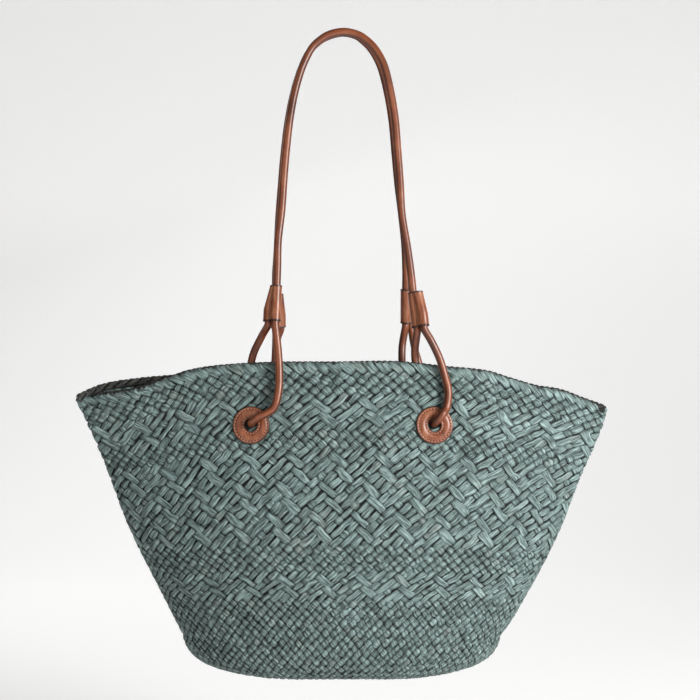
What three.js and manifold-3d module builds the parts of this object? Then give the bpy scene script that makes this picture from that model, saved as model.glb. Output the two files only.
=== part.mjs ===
// A straw basket bag, hanging by its two rolled leather handles from one hook.
// Millimetres, +Z up, and the front faces -Y. The origin is where the hook bears: under the tops of both handles.
// The basket is woven in one piece, wall and base. Each handle is one leather cord: it comes down through a
// leather keeper, goes over the rim, through an eyelet in the wall, and ends beside itself in the keeper.

import * as THREE from "three";
import { mergeVertices } from "three/addons/utils/BufferGeometryUtils.js";
import Module from "manifold-3d";

const wasm = await Module();
wasm.setup();

// Sizes of the basket
const RIM_WIDTH = 551; // corner to corner across the mouth
const MOUTH_DEPTH = 92; // front to back at the middle of the mouth
const BASE_WIDTH = 322;
const BASE_DEPTH = 150;
const BODY_HEIGHT = 318; // base to the top of the rim
const RIM_ARCH = 42.5; // how far the corners of the mouth lie below the top of the rim
const BASE_EDGE_RADIUS = 30; // where the wall turns under into the base
const BASE_RISE = 12; // how far the base's ends curl up
const BASE_FLAT = 0.3; // share of the base's width that stays flat
const WALL = 3;

// Sizes of the braid that finishes the rim inside
const BRAID_HEIGHT = 8;
const BRAID_THICKNESS = 3;
const BRAID_BELOW_RIM = 0.6;

// Sizes of the leather
const HANDLE_DROP = 335; // hook to the top of the rim
const CORD_DIAMETER = 8;
const EYELET_SPACING = 183;
const EYELET_DROP = 64; // top of the rim to the middle of an eyelet
const EYELET_DIAMETER = 38;
const EYELET_PLAY = 5; // how much wider than the cord an eyelet's hole is
const EYELET_EDGE = 2; // thickness at the eyelet's edges
const EYELET_CROWN = 1.2; // how much thicker it is midway
const EYELET_FULLNESS = 0.7; // below 1 for a fuller curve between its edges
const KEEPER_LENGTH = 36;
const KEEPER_WALL = 1.2;
const KEEPER_WAIST = 0.6; // how far a keeper sinks between its two cords
const KEEPER_RISE = 40; // top of the rim to the lower end of a keeper
const CORD_END = 0.34; // share of the keeper's length that the cord's end reaches up
const THREADING_BEND = 1.5; // radius of the cord's bend into an eyelet, in cord diameters
const KEEPER_LEAD = 2.5; // straight run of the cords below a keeper

// Fits
const GAP = 0.4; // between touching pieces
const CORD_FIT = 0.3; // round a cord in its keeper

// Facets
const AROUND = 56;
const WALL_RINGS = 13;
const EDGE_RINGS = 3;
const BASE_RINGS = [0.66, 0.34]; // shares of the way out from the middle of the base
const CORD_SIDES = 8;
const CORD_STEPS = 1.5; // for each point of a cord's route
const THREADING_STEPS = [80, 55, 28, 0]; // degrees of the cord's bend into an eyelet
const EYELET_SIDES = 22;
const EYELET_STEPS = [1, 0.86, 0.62, 0.38, 0.14, 0]; // shares of the way out from an eyelet's hole
const HOLE_SIDES = 16;

const cordRadius = CORD_DIAMETER / 2;
const cordPitch = CORD_DIAMETER + CORD_FIT; // between the two cords in a keeper
const eyeletHole = CORD_DIAMETER + EYELET_PLAY;
const eyeletThickness = GAP + EYELET_EDGE + EYELET_CROWN;
const threadingRadius = THREADING_BEND * CORD_DIAMETER;
const rimTop = -HANDLE_DROP;
const baseZ = rimTop - BODY_HEIGHT;
const TURN = 2 * Math.PI;

// The basket's sections from the base up. level: share of the height at that place round the bag.
// widen: share of the way from the base's width to the rim's. close: share of the way from the base's depth
// to the mouth's. pinch: 0 where the section is an oval, 1 where its ends are pinched to corners.
// sway: share of half the rim's width by which the section lies to the right.
const SECTIONS = [
  { level: 0.0, widen: -0.1, close: 0.1, pinch: 0.08, sway: -0.006 },
  { level: 0.08, widen: 0.0, close: 0.0, pinch: 0.05, sway: -0.006 },
  { level: 0.17, widen: 0.126, close: -0.03, pinch: 0.03, sway: 0.001 },
  { level: 0.3, widen: 0.288, close: 0.0, pinch: 0.05, sway: 0.004 },
  { level: 0.42, widen: 0.436, close: 0.08, pinch: 0.12, sway: 0.004 },
  { level: 0.55, widen: 0.573, close: 0.26, pinch: 0.3, sway: 0.003 },
  { level: 0.67, widen: 0.678, close: 0.46, pinch: 0.52, sway: 0.003 },
  { level: 0.83, widen: 0.832, close: 0.73, pinch: 0.82, sway: 0.004 },
  { level: 0.92, widen: 0.925, close: 0.87, pinch: 0.94, sway: 0.001 },
  { level: 1.0, widen: 1.0, close: 1.0, pinch: 1.0, sway: -0.007 },
];

// The rim's height across the bag. across: -1 at the left corner, 1 at the right one.
// front, back: share of the arch that the front and the back of the rim reach there.
const RIM = [
  { across: -1.0, front: 0.12, back: 0.12 },
  { across: -0.9, front: 0.21, back: 0.41 },
  { across: -0.77, front: 0.33, back: 0.56 },
  { across: -0.66, front: 0.56, back: 0.63 },
  { across: -0.57, front: 0.77, back: 0.68 },
  { across: -0.45, front: 0.9, back: 0.76 },
  { across: -0.25, front: 0.98, back: 0.86 },
  { across: 0.0, front: 0.99, back: 0.88 },
  { across: 0.2, front: 1.0, back: 0.87 },
  { across: 0.4, front: 0.87, back: 0.77 },
  { across: 0.54, front: 0.77, back: 0.66 },
  { across: 0.63, front: 0.59, back: 0.48 },
  { across: 0.73, front: 0.4, back: 0.3 },
  { across: 0.82, front: 0.3, back: 0.2 },
  { across: 0.91, front: 0.08, back: 0.0 },
  { across: 1.0, front: -0.13, back: -0.13 },
];

// The keepers. side: which wall. x: place of the main cord, as a share of half the eyelets' spacing.
// lean: degrees to the right at the foot. end: which side of the main cord the cord's end lies on, -1 left or 1
// right. endOuter: whether the end comes from the leg outside the wall. turn: degrees that the outer leg stands
// away from the wall. raise: share of its length that the keeper lies higher. taper: share of the pitch by which
// its top is drawn in.
const KEEPERS = [
  { name: "front_left", side: -1, x: -0.734, lean: -2, end: -1, endOuter: false, turn: 34, raise: 0, taper: 0.85 },
  { name: "front_right", side: -1, x: 0.795, lean: 6, end: 1, endOuter: true, turn: 36, raise: -0.16, taper: 0.4 },
  { name: "back_left", side: 1, x: -0.776, lean: 0, end: 1, endOuter: true, turn: 55, raise: -0.14, taper: 0.5 },
  { name: "back_right", side: 1, x: 0.72, lean: 0, end: 1, endOuter: true, turn: 45, raise: 0, taper: 0.5 },
];

// The handles' arch, from the hook down to a keeper. down: share of that height. The others: share of the way
// out to the keeper, for the two sides of the front handle and of the back one.
const ARCH = [
  { down: 0.0, frontLeft: 0.0, frontRight: 0.0, backLeft: 0.0, backRight: 0.0 },
  { down: 0.012, frontLeft: 0.219, frontRight: 0.215, backLeft: 0.209, backRight: 0.215 },
  { down: 0.031, frontLeft: 0.341, frontRight: 0.33, backLeft: 0.346, backRight: 0.32 },
  { down: 0.062, frontLeft: 0.469, frontRight: 0.45, backLeft: 0.47, backRight: 0.442 },
  { down: 0.123, frontLeft: 0.598, frontRight: 0.583, backLeft: 0.593, backRight: 0.58 },
  { down: 0.215, frontLeft: 0.716, frontRight: 0.675, backLeft: 0.71, backRight: 0.685 },
  { down: 0.337, frontLeft: 0.809, frontRight: 0.751, backLeft: 0.806, backRight: 0.773 },
  { down: 0.46, frontLeft: 0.864, frontRight: 0.787, backLeft: 0.866, backRight: 0.82 },
  { down: 0.582, frontLeft: 0.902, frontRight: 0.82, backLeft: 0.908, backRight: 0.868 },
  { down: 0.705, frontLeft: 0.933, frontRight: 0.845, backLeft: 0.947, backRight: 0.93 },
  { down: 0.828, frontLeft: 0.985, frontRight: 0.92, backLeft: 0.973, backRight: 0.983 },
  { down: 0.93, frontLeft: 0.992, frontRight: 0.972, backLeft: 0.999, backRight: 1.0 },
];

// The legs below a keeper. down: share of the height from the keeper to the eyelet. reach: share of the way
// across from the eyelet back to the keeper. off: how far the leg's middle stands off the wall's face there, in
// cord diameters. over: 1 where the leg lies over the eyelet, on top of its leather.
const LEGS = {
  front_left_outer: [
    { down: 0.28, reach: 1.13, off: 0.7 },
    { down: 0.5, reach: 1.18, off: 0.75 },
    { down: 0.68, reach: 1.15, off: 0.5, over: 1 },
    { down: 0.85, reach: 0.93, off: 0.65, over: 1 },
  ],
  front_left_inner: [
    { down: 0.12, reach: 0.57, off: 1.1 },
    { down: 0.3, reach: 0.05, off: 1.25 },
    { down: 0.52, reach: -0.2, off: 1.3 },
    { down: 0.72, reach: -0.2, off: 1.35 },
  ],
  front_right_outer: [
    { down: 0.12, reach: 0.34, off: 0.7 },
    { down: 0.3, reach: -0.5, off: 0.7 },
    { down: 0.48, reach: -1.04, off: 0.75 },
    { down: 0.67, reach: -1.42, off: 0.5, over: 1 },
    { down: 0.84, reach: -1.18, off: 0.65, over: 1 },
  ],
  front_right_inner: [
    { down: 0.25, reach: 1.12, off: 1.25 },
    { down: 0.5, reach: 0.92, off: 1.3 },
    { down: 0.72, reach: 0.55, off: 1.35 },
  ],
  back_left_outer: [
    { down: 0.1, reach: 0.86, off: 0.7 },
    { down: 0.25, reach: 0.8, off: 0.7 },
    { down: 0.48, reach: 0.75, off: 0.75 },
    { down: 0.65, reach: 0.68, off: 0.5, over: 1 },
    { down: 0.78, reach: 0.58, off: 0.7, over: 1 },
  ],
  back_left_inner: [
    { down: 0.25, reach: 1.0, off: 1.25 },
    { down: 0.5, reach: 0.9, off: 1.3 },
    { down: 0.72, reach: 0.6, off: 1.35 },
  ],
  back_right_outer: [
    { down: 0.25, reach: 0.8, off: 0.7 },
    { down: 0.48, reach: 0.45, off: 0.75 },
    { down: 0.65, reach: 0.15, off: 0.5, over: 1 },
    { down: 0.79, reach: 0.0, off: 0.7, over: 1 },
  ],
  back_right_inner: [
    { down: 0.25, reach: 1.16, off: 1.25 },
    { down: 0.5, reach: 1.1, off: 1.3 },
    { down: 0.72, reach: 0.75, off: 1.35 },
  ],
};

const straw = new THREE.MeshStandardMaterial({ color: 0x5d726d, roughness: 0.85, metalness: 0 });
const darkStraw = new THREE.MeshStandardMaterial({ color: 0x3c4641, roughness: 0.9, metalness: 0 });
const leather = new THREE.MeshStandardMaterial({ color: 0x8f4f35, roughness: 0.4, metalness: 0 });

// A table's column at a place between its rows, on a smooth curve through them.
function along(table, key, column, at) {
  let row = 0;
  while (row < table.length - 2 && at > table[row + 1][key]) row++;
  const before = table[Math.max(row - 1, 0)];
  const from = table[row];
  const to = table[row + 1];
  const after = table[Math.min(row + 2, table.length - 1)];
  const span = to[key] - from[key];
  const t = THREE.MathUtils.clamp((at - from[key]) / span, 0, 1);
  const slopeFrom = ((to[column] - before[column]) / (to[key] - before[key])) * span;
  const slopeTo = ((after[column] - from[column]) / (after[key] - from[key])) * span;
  return (
    from[column] * (2 * t ** 3 - 3 * t ** 2 + 1) +
    slopeFrom * (t ** 3 - 2 * t ** 2 + t) +
    to[column] * (3 * t ** 2 - 2 * t ** 3) +
    slopeTo * (t ** 3 - t ** 2)
  );
}

// The rim's height at an angle round the bag: 0 is the right corner, a quarter turn the back.
function rimHeight(angle) {
  const across = Math.cos(angle);
  const lift = along(RIM, "across", Math.sin(angle) < 0 ? "front" : "back", across);
  return rimTop - RIM_ARCH * (1 - lift);
}

// The height of the underside at a place across the base: flat in the middle and curled up towards the ends.
function baseHeight(x) {
  const out = Math.max(0, (Math.abs(x) / (BASE_WIDTH / 2) - BASE_FLAT) / (1 - BASE_FLAT));
  return baseZ + BASE_RISE * out ** 2;
}

// The underside's height at the foot of the wall, at an angle round the bag.
function footHeight(angle) {
  return baseHeight((BASE_WIDTH / 2) * Math.cos(angle));
}

// Half width, half depth, pinch and middle of the section at a level, taken in by an inset.
function section(level, inset) {
  const widen = along(SECTIONS, "level", "widen", level);
  const close = along(SECTIONS, "level", "close", level);
  const pinch = along(SECTIONS, "level", "pinch", level);
  const middle = (along(SECTIONS, "level", "sway", level) * RIM_WIDTH) / 2;
  const width = (BASE_WIDTH + (RIM_WIDTH - BASE_WIDTH) * widen) / 2;
  const depth = (BASE_DEPTH + (MOUTH_DEPTH - BASE_DEPTH) * close) / 2;
  const corner = Math.atan2(2 * depth, width);
  const cornerInset = THREE.MathUtils.lerp(inset, inset / Math.sin(corner), pinch);
  return { width: width - cornerInset, depth: depth - inset, pinch, middle };
}

// A point of the wall at an angle and a level, a given distance inside its outer face.
function wallPoint(angle, level, inset = 0) {
  const { width, depth, pinch, middle } = section(level, inset);
  const sine = Math.sin(angle);
  return new THREE.Vector3(
    middle + width * Math.cos(angle),
    depth * Math.sign(sine) * Math.abs(sine) ** (1 + pinch),
    THREE.MathUtils.lerp(footHeight(angle), rimHeight(angle), level),
  );
}

// The angle and level at which the wall passes a given x and z, on the front (side -1) or the back (side 1).
function findOnWall(side, x, z) {
  let level = 0.8;
  let angle = 0;
  for (let pass = 0; pass < 30; pass++) {
    const { width, middle } = section(level, 0);
    angle = side * Math.acos(THREE.MathUtils.clamp((x - middle) / width, -1, 1));
    level = THREE.MathUtils.inverseLerp(footHeight(angle), rimHeight(angle), z);
  }
  return { angle, level };
}

// Where the wall's outer face is at an x and a z, and which way it faces. Above the rim it goes on upright.
function wallAt(side, x, z) {
  const { angle, level } = findOnWall(side, x, z);
  const step = 0.002;
  const held = Math.min(level, 1);
  const point = wallPoint(angle, held);
  const round = wallPoint(angle + step, held).sub(wallPoint(angle - step, held));
  const up = wallPoint(angle, held).sub(wallPoint(angle, held - step));
  const normal = round.cross(up).normalize();
  point.z = z;
  return { point, normal };
}

// A mesh of rings with as many points each, every ring joined to the next. It closes on itself, or at two ends.
function ringMesh(rings, closed) {
  const count = rings[0].length;
  const positions = rings.flat().flatMap((p) => [p.x, p.y, p.z]);
  const index = [];
  const last = closed ? rings.length : rings.length - 1;
  for (let r = 0; r < last; r++) {
    for (let i = 0; i < count; i++) {
      const a = r * count + i;
      const b = r * count + ((i + 1) % count);
      const c = ((r + 1) % rings.length) * count + i;
      const d = ((r + 1) % rings.length) * count + ((i + 1) % count);
      index.push(a, c, b, b, c, d);
    }
  }
  if (!closed) {
    for (const [ring, flip] of [[0, false], [rings.length - 1, true]]) {
      const middle = new THREE.Vector3();
      rings[ring].forEach((p) => middle.addScaledVector(p, 1 / count));
      const hub = positions.length / 3;
      positions.push(middle.x, middle.y, middle.z);
      for (let i = 0; i < count; i++) {
        const a = ring * count + i;
        const b = ring * count + ((i + 1) % count);
        index.push(hub, flip ? b : a, flip ? a : b);
      }
    }
  }
  const geometry = new THREE.BufferGeometry();
  geometry.setAttribute("position", new THREE.Float32BufferAttribute(positions, 3));
  geometry.setIndex(index);
  return geometry;
}

// A three.js geometry as a solid for joining and cutting, and back again.
function toSolid(geometry) {
  const bare = geometry.clone();
  bare.deleteAttribute("normal");
  bare.deleteAttribute("uv");
  const merged = mergeVertices(bare, 1e-4);
  return new wasm.Manifold(
    new wasm.Mesh({
      numProp: 3,
      vertProperties: new Float32Array(merged.attributes.position.array),
      triVerts: new Uint32Array(merged.index.array),
    }),
  );
}

function toGeometry(solid) {
  const mesh = solid.getMesh();
  const geometry = new THREE.BufferGeometry();
  geometry.setAttribute("position", new THREE.Float32BufferAttribute(mesh.vertProperties, 3));
  geometry.setIndex(new THREE.Uint32BufferAttribute(mesh.triVerts, 1));
  return geometry;
}

// One face of the basket's shell, as rings from the rim down the wall, round the base's edge and in to the middle.
function shellRings(inset) {
  const edge = BASE_EDGE_RADIUS - inset;
  const lowest = BASE_EDGE_RADIUS / BODY_HEIGHT;
  const rings = [];
  for (let k = WALL_RINGS; k >= 0; k--) {
    const level = THREE.MathUtils.lerp(lowest, 1, k / WALL_RINGS);
    rings.push(ring((angle) => wallPoint(angle, level, inset)));
  }
  const onBase = (angle, takenIn, up) => {
    const top = wallPoint(angle, lowest, inset);
    const reach = Math.hypot(top.x, top.y);
    const kept = takenIn(reach) / reach;
    const x = top.x * kept;
    const floor = baseHeight(x) + inset;
    return new THREE.Vector3(x, top.y * kept, floor + (top.z - footHeight(angle) - inset) * up);
  };
  for (let k = 1; k <= EDGE_RINGS; k++) {
    const bend = ((Math.PI / 2) * k) / EDGE_RINGS;
    const takenIn = (reach) => reach - edge * (1 - Math.cos(bend));
    rings.push(ring((angle) => onBase(angle, takenIn, 1 - Math.sin(bend))));
  }
  for (const share of BASE_RINGS) {
    rings.push(ring((angle) => onBase(angle, (reach) => (reach - edge) * share, 0)));
  }
  return rings;
}

function ring(place) {
  return Array.from({ length: AROUND }, (_, i) => place((TURN * i) / AROUND));
}

// The woven basket: a wall and a base of one thickness, open at the mouth, with four holes for the handles.
function makeBasket() {
  const outer = shellRings(0);
  const inner = shellRings(WALL);
  const shell = ringMesh([...inner.reverse(), ...outer], false);
  let solid = toSolid(shell);
  for (const eyelet of eyelets) {
    const drill = new THREE.CylinderGeometry(eyeletHole / 2, eyeletHole / 2, EYELET_DIAMETER, HOLE_SIDES);
    drill.rotateX(Math.PI / 2);
    drill.applyMatrix4(eyelet.matrix);
    solid = solid.subtract(toSolid(drill));
  }
  return toGeometry(solid);
}

// The braid that lies inside the rim, all the way round the mouth.
function makeBraid() {
  const near = WALL + GAP;
  const far = near + BRAID_THICKNESS;
  const place = (angle, inset, drop) =>
    wallPoint(angle, 1 - drop / (rimHeight(angle) - footHeight(angle)), inset);
  const top = BRAID_BELOW_RIM;
  const bottom = top + BRAID_HEIGHT;
  const middle = (top + bottom) / 2;
  const round = BRAID_THICKNESS / 2;
  const profile = [
    [near, top + round],
    [near, bottom - round],
    [near + round, bottom],
    [far, middle],
    [near + round, top],
  ];
  return ringMesh(profile.map(([inset, drop]) => ring((angle) => place(angle, inset, drop))), true);
}

// Each eyelet's place: its own +Z faces out of the wall and its own +Y runs up the wall.
function placeEyelet(side, x) {
  const { point, normal } = wallAt(side, x, rimTop - EYELET_DROP);
  const across = new THREE.Vector3(0, 0, 1).cross(normal).normalize();
  const up = normal.clone().cross(across);
  const matrix = new THREE.Matrix4().makeBasis(across, up, normal).setPosition(point);
  return { matrix, point, normal, up, side };
}

// A leather ring, thicker midway between its stitched edges.
function makeEyelet() {
  const inner = eyeletHole / 2;
  const outer = EYELET_DIAMETER / 2;
  const width = outer - inner;
  const profile = [new THREE.Vector2(inner, GAP), new THREE.Vector2(outer, GAP)];
  for (const share of EYELET_STEPS) {
    const rise = EYELET_EDGE + EYELET_CROWN * Math.abs(Math.sin(Math.PI * share)) ** EYELET_FULLNESS;
    profile.push(new THREE.Vector2(inner + width * share, GAP + rise));
  }
  profile.push(profile[0].clone());
  const lathe = new THREE.LatheGeometry(profile, EYELET_SIDES);
  lathe.rotateX(Math.PI / 2);
  return lathe;
}

// The outline round the two cords in a keeper, a little waisted between them. The main cord's middle is half a
// pitch to the -X side and the other's as far to the +X side, or nearer where the keeper is drawn in.
function keeperOutline(radius, z, drawnIn) {
  const main = -cordPitch / 2;
  const other = main + cordPitch * (1 - drawnIn);
  const waist = radius - KEEPER_WAIST * (1 - drawnIn);
  const arcSteps = 5;
  const points = [];
  for (const side of [1, -1]) {
    const middle = side > 0 ? other : main;
    for (let k = 0; k <= arcSteps; k++) {
      const angle = -Math.PI / 2 + (Math.PI * k) / arcSteps;
      points.push(new THREE.Vector3(middle + side * radius * Math.cos(angle), side * radius * Math.sin(angle), z));
    }
    points.push(new THREE.Vector3((main + other) / 2, side * waist, z));
  }
  return points;
}

// A keeper: a leather wrap round both cords, drawn in above the place where the cord's end stops.
function makeKeeper(taper) {
  const inner = cordRadius + CORD_FIT;
  const outer = inner + KEEPER_WALL;
  const top = KEEPER_LENGTH / 2;
  const start = KEEPER_LENGTH * (CORD_END - 0.5) + CORD_FIT;
  return ringMesh(
    [
      keeperOutline(outer, top, taper),
      keeperOutline(outer, start, 0),
      keeperOutline(outer, -top, 0),
      keeperOutline(inner, -top, 0),
      keeperOutline(inner, start, 0),
      keeperOutline(inner, top, taper),
    ],
    true,
  );
}

// Each keeper's place: its own +Z runs up the main cord, and its own +X from the main cord to the cord's end.
function placeKeeper(row) {
  const z = rimTop + KEEPER_RISE + KEEPER_LENGTH * (0.5 + row.raise);
  const mainX = (row.x * EYELET_SPACING) / 2;
  const y = wallAt(row.side, mainX, rimTop).point.y - row.side * WALL * 0.5;
  const slope = Math.atan2(y - row.side * cordRadius, HANDLE_DROP - KEEPER_RISE - KEEPER_LENGTH);
  const lean = THREE.MathUtils.degToRad(row.lean);
  const turn = THREE.MathUtils.degToRad(row.turn);
  const up = new THREE.Vector3(-Math.tan(lean), -Math.tan(slope), 1).normalize();
  const away = row.side * (row.endOuter ? 1 : -1);
  const across = new THREE.Vector3(row.end * Math.cos(turn), away * Math.sin(turn), 0);
  across.addScaledVector(up, -across.dot(up)).normalize();
  const thick = up.clone().cross(across);
  const x = mainX + (across.x * cordPitch) / 2;
  const matrix = new THREE.Matrix4().makeBasis(across, thick, up).setPosition(x, y, z);
  return { ...row, matrix };
}

// The leg from a keeper down to its eyelet, outside or inside the wall, then the bend into the hole.
function legPoints(keeper, eyelet, outer) {
  const x = ((outer === keeper.endOuter ? 1 : -1) * cordPitch) / 2;
  const foot = new THREE.Vector3(x, 0, -KEEPER_LENGTH / 2 - KEEPER_LEAD).applyMatrix4(keeper.matrix);
  const bearing = eyeletHole / 2 - cordRadius - 2 * GAP;
  const hole = eyelet.point.clone().addScaledVector(eyelet.up, bearing);
  const name = `${keeper.name}_${outer ? "outer" : "inner"}`;
  const face = outer ? 1 : -1;
  const points = [];
  for (const { down, reach, off, over = 0 } of LEGS[name]) {
    const px = THREE.MathUtils.lerp(hole.x, foot.x, reach);
    const pz = THREE.MathUtils.lerp(foot.z, hole.z, down);
    const wall = wallAt(keeper.side, px, pz);
    const stand = off * CORD_DIAMETER + (outer ? over * eyeletThickness : WALL);
    const p = wall.point.clone().addScaledVector(wall.normal, face * stand);
    points.push(new THREE.Vector3(px, p.y, pz));
  }
  const pull = points[points.length - 1].clone().sub(hole);
  const inPlane = pull.addScaledVector(eyelet.normal, -pull.dot(eyelet.normal)).normalize();
  const wallFace = outer ? 0 : -WALL;
  for (const bend of THREADING_STEPS) {
    const angle = THREE.MathUtils.degToRad(bend);
    points.push(
      hole
        .clone()
        .addScaledVector(inPlane, threadingRadius * (1 - Math.cos(angle)))
        .addScaledVector(eyelet.normal, wallFace + face * threadingRadius * Math.sin(angle)),
    );
  }
  return { foot, points };
}

// A keeper's loop: from the cord's end down one leg, through the eyelet, up the other leg and up through the keeper.
function loopPoints(keeper, eyelet) {
  const half = cordPitch / 2;
  const inKeeper = (x, share) =>
    new THREE.Vector3(x, 0, KEEPER_LENGTH * (share - 0.5)).applyMatrix4(keeper.matrix);
  const endLeg = legPoints(keeper, eyelet, keeper.endOuter);
  const mainLeg = legPoints(keeper, eyelet, !keeper.endOuter);
  return [
    inKeeper(half, CORD_END),
    inKeeper(half, CORD_END / 2),
    inKeeper(half, 0),
    endLeg.foot,
    ...endLeg.points,
    ...mainLeg.points.reverse(),
    mainLeg.foot,
    inKeeper(-half, 0),
    inKeeper(-half, 0.5),
    inKeeper(-half, 1),
  ];
}

// A curve whose steps follow its points, so that the steps are short where the points are close.
class StepByPoint extends THREE.CatmullRomCurve3 {
  getPointAt(t, target) {
    return this.getPoint(t, target);
  }
  getTangentAt(t, target) {
    return this.getTangent(t, target);
  }
}

// One handle: a single cord from its end in the left keeper to its end in the right one.
function makeHandle(side) {
  const name = side < 0 ? "front" : "back";
  const leftKeeper = keepers.find((k) => k.name === `${name}_left`);
  const rightKeeper = keepers.find((k) => k.name === `${name}_right`);
  const left = loopPoints(leftKeeper, eyeletAt(side, -1));
  const right = loopPoints(rightKeeper, eyeletAt(side, 1));
  const leftTop = left[left.length - 1];
  const rightTop = right[right.length - 1];
  const flat = cordRadius * Math.cos(Math.PI / CORD_SIDES);
  const apex = new THREE.Vector3(0, side * (flat + GAP / 2), cordRadius);
  const archPoint = (to, down, out) =>
    new THREE.Vector3(
      THREE.MathUtils.lerp(apex.x, to.x, out),
      THREE.MathUtils.lerp(apex.y, to.y, down),
      THREE.MathUtils.lerp(apex.z, to.z, down),
    );
  const rising = ARCH.slice(1).reverse().map((row) => archPoint(leftTop, row.down, row[`${name}Left`]));
  const falling = ARCH.slice(1).map((row) => archPoint(rightTop, row.down, row[`${name}Right`]));
  const points = [...left, ...rising, apex, ...falling, ...right.reverse()];
  const path = new StepByPoint(points, false, "centripetal");
  const profile = new THREE.Shape(
    Array.from({ length: CORD_SIDES }, (_, i) => {
      const angle = (TURN * (i + 0.5)) / CORD_SIDES;
      return new THREE.Vector2(cordRadius * Math.cos(angle), cordRadius * Math.sin(angle));
    }),
  );
  return new THREE.ExtrudeGeometry(profile, {
    steps: Math.round((points.length - 1) * CORD_STEPS),
    bevelEnabled: false,
    extrudePath: path,
  });
}

function eyeletAt(side, hand) {
  return eyelets.find((e) => e.side === side && Math.sign(e.point.x) === hand);
}

function addMesh(parent, name, geometry, material, matrix) {
  const mesh = new THREE.Mesh(geometry, material);
  mesh.name = name;
  if (matrix) {
    matrix.decompose(mesh.position, mesh.quaternion, mesh.scale);
  }
  parent.add(mesh);
}

const eyelets = [];
for (const side of [-1, 1]) {
  for (const hand of [-1, 1]) {
    eyelets.push(placeEyelet(side, (hand * EYELET_SPACING) / 2));
  }
}
const keepers = KEEPERS.map(placeKeeper);

const bag = new THREE.Group();
const basket = new THREE.Group();
addMesh(basket, "basket", makeBasket(), straw);
addMesh(basket, "rim_braid", makeBraid(), darkStraw);
bag.add(basket);

const leatherwork = new THREE.Group();
for (const eyelet of eyelets) {
  const name = `eyelet_${eyelet.side < 0 ? "front" : "back"}_${eyelet.point.x < 0 ? "left" : "right"}`;
  addMesh(leatherwork, name, makeEyelet(), leather, eyelet.matrix);
}
for (const keeper of keepers) {
  addMesh(leatherwork, `keeper_${keeper.name}`, makeKeeper(keeper.taper), leather, keeper.matrix);
}
addMesh(leatherwork, "handle_front", makeHandle(-1), leather);
addMesh(leatherwork, "handle_back", makeHandle(1), leather);
bag.add(leatherwork);

export default bag;
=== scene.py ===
# A woven straw basket bag with rolled leather handles, hanging from its handles in front of a pale backdrop.
# Metres, +Z up, and the front faces -Y. The origin is where the hook bears, under the tops of the handles.
# The straw is woven strand by strand round the basket's own surface. The leather is swept along the routes of
# its cords.

import math

import bpy
import numpy as np
from mathutils import Matrix, Vector


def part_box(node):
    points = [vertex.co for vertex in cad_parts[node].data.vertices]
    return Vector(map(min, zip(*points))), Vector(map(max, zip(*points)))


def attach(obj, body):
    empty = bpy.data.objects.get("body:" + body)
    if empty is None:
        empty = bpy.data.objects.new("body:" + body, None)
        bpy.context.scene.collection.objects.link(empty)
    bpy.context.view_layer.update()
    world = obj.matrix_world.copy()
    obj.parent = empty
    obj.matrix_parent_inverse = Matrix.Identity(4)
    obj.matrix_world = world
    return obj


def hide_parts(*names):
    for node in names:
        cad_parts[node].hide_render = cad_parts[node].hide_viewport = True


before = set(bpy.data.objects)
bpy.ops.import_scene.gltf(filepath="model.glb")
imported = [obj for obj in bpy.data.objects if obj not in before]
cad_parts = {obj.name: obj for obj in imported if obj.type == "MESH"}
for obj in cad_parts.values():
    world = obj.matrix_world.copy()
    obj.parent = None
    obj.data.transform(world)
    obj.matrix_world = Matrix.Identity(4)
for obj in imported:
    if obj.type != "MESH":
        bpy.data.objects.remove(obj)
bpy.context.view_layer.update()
basket_low, basket_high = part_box("basket")

bl_info = {
    "name": "Straw Basket Bag",
    "version": (1, 0, 0),
    "blender": (4, 5, 0),
    "location": "View3D > Sidebar > Basket",
    "description": "Weaves a straw basket bag and sews its leather handles",
    "category": "Add Mesh",
}

TURN = 2 * math.pi
BODY = "root"
DOWNWARD = np.array([0.0, 0.0, -1.0])

# The basket's sections from the base up. level: share of the height at that place round the bag.
# widen: share of the way from the base's width to the rim's. close: share of the way from the base's depth
# to the mouth's. pinch: 0 where the section is an oval, 1 where its ends are pinched to corners.
# sway: share of half the rim's width by which the section lies to the right.
SECTIONS = np.array(
    [
        (0.0, -0.1, 0.1, 0.08, -0.006),
        (0.08, 0.0, 0.0, 0.05, -0.006),
        (0.17, 0.126, -0.03, 0.03, 0.001),
        (0.3, 0.288, 0.0, 0.05, 0.004),
        (0.42, 0.436, 0.08, 0.12, 0.004),
        (0.55, 0.573, 0.26, 0.3, 0.003),
        (0.67, 0.678, 0.46, 0.52, 0.003),
        (0.83, 0.832, 0.73, 0.82, 0.004),
        (0.92, 0.925, 0.87, 0.94, 0.001),
        (1.0, 1.0, 1.0, 1.0, -0.007),
    ],
    dtype=[("level", float), ("widen", float), ("close", float), ("pinch", float), ("sway", float)],
)

# The rim's height across the bag. across: -1 at the left corner, 1 at the right one.
# front, back: share of the arch that the front and the back of the rim reach there.
RIM = np.array(
    [
        (-1.0, 0.12, 0.12),
        (-0.9, 0.21, 0.41),
        (-0.77, 0.33, 0.56),
        (-0.66, 0.56, 0.63),
        (-0.57, 0.77, 0.68),
        (-0.45, 0.9, 0.76),
        (-0.25, 0.98, 0.86),
        (0.0, 0.99, 0.88),
        (0.2, 1.0, 0.87),
        (0.4, 0.87, 0.77),
        (0.54, 0.77, 0.66),
        (0.63, 0.59, 0.48),
        (0.73, 0.4, 0.3),
        (0.82, 0.3, 0.2),
        (0.91, 0.08, 0.0),
        (1.0, -0.13, -0.13),
    ],
    dtype=[("across", float), ("front", float), ("back", float)],
)

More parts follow.
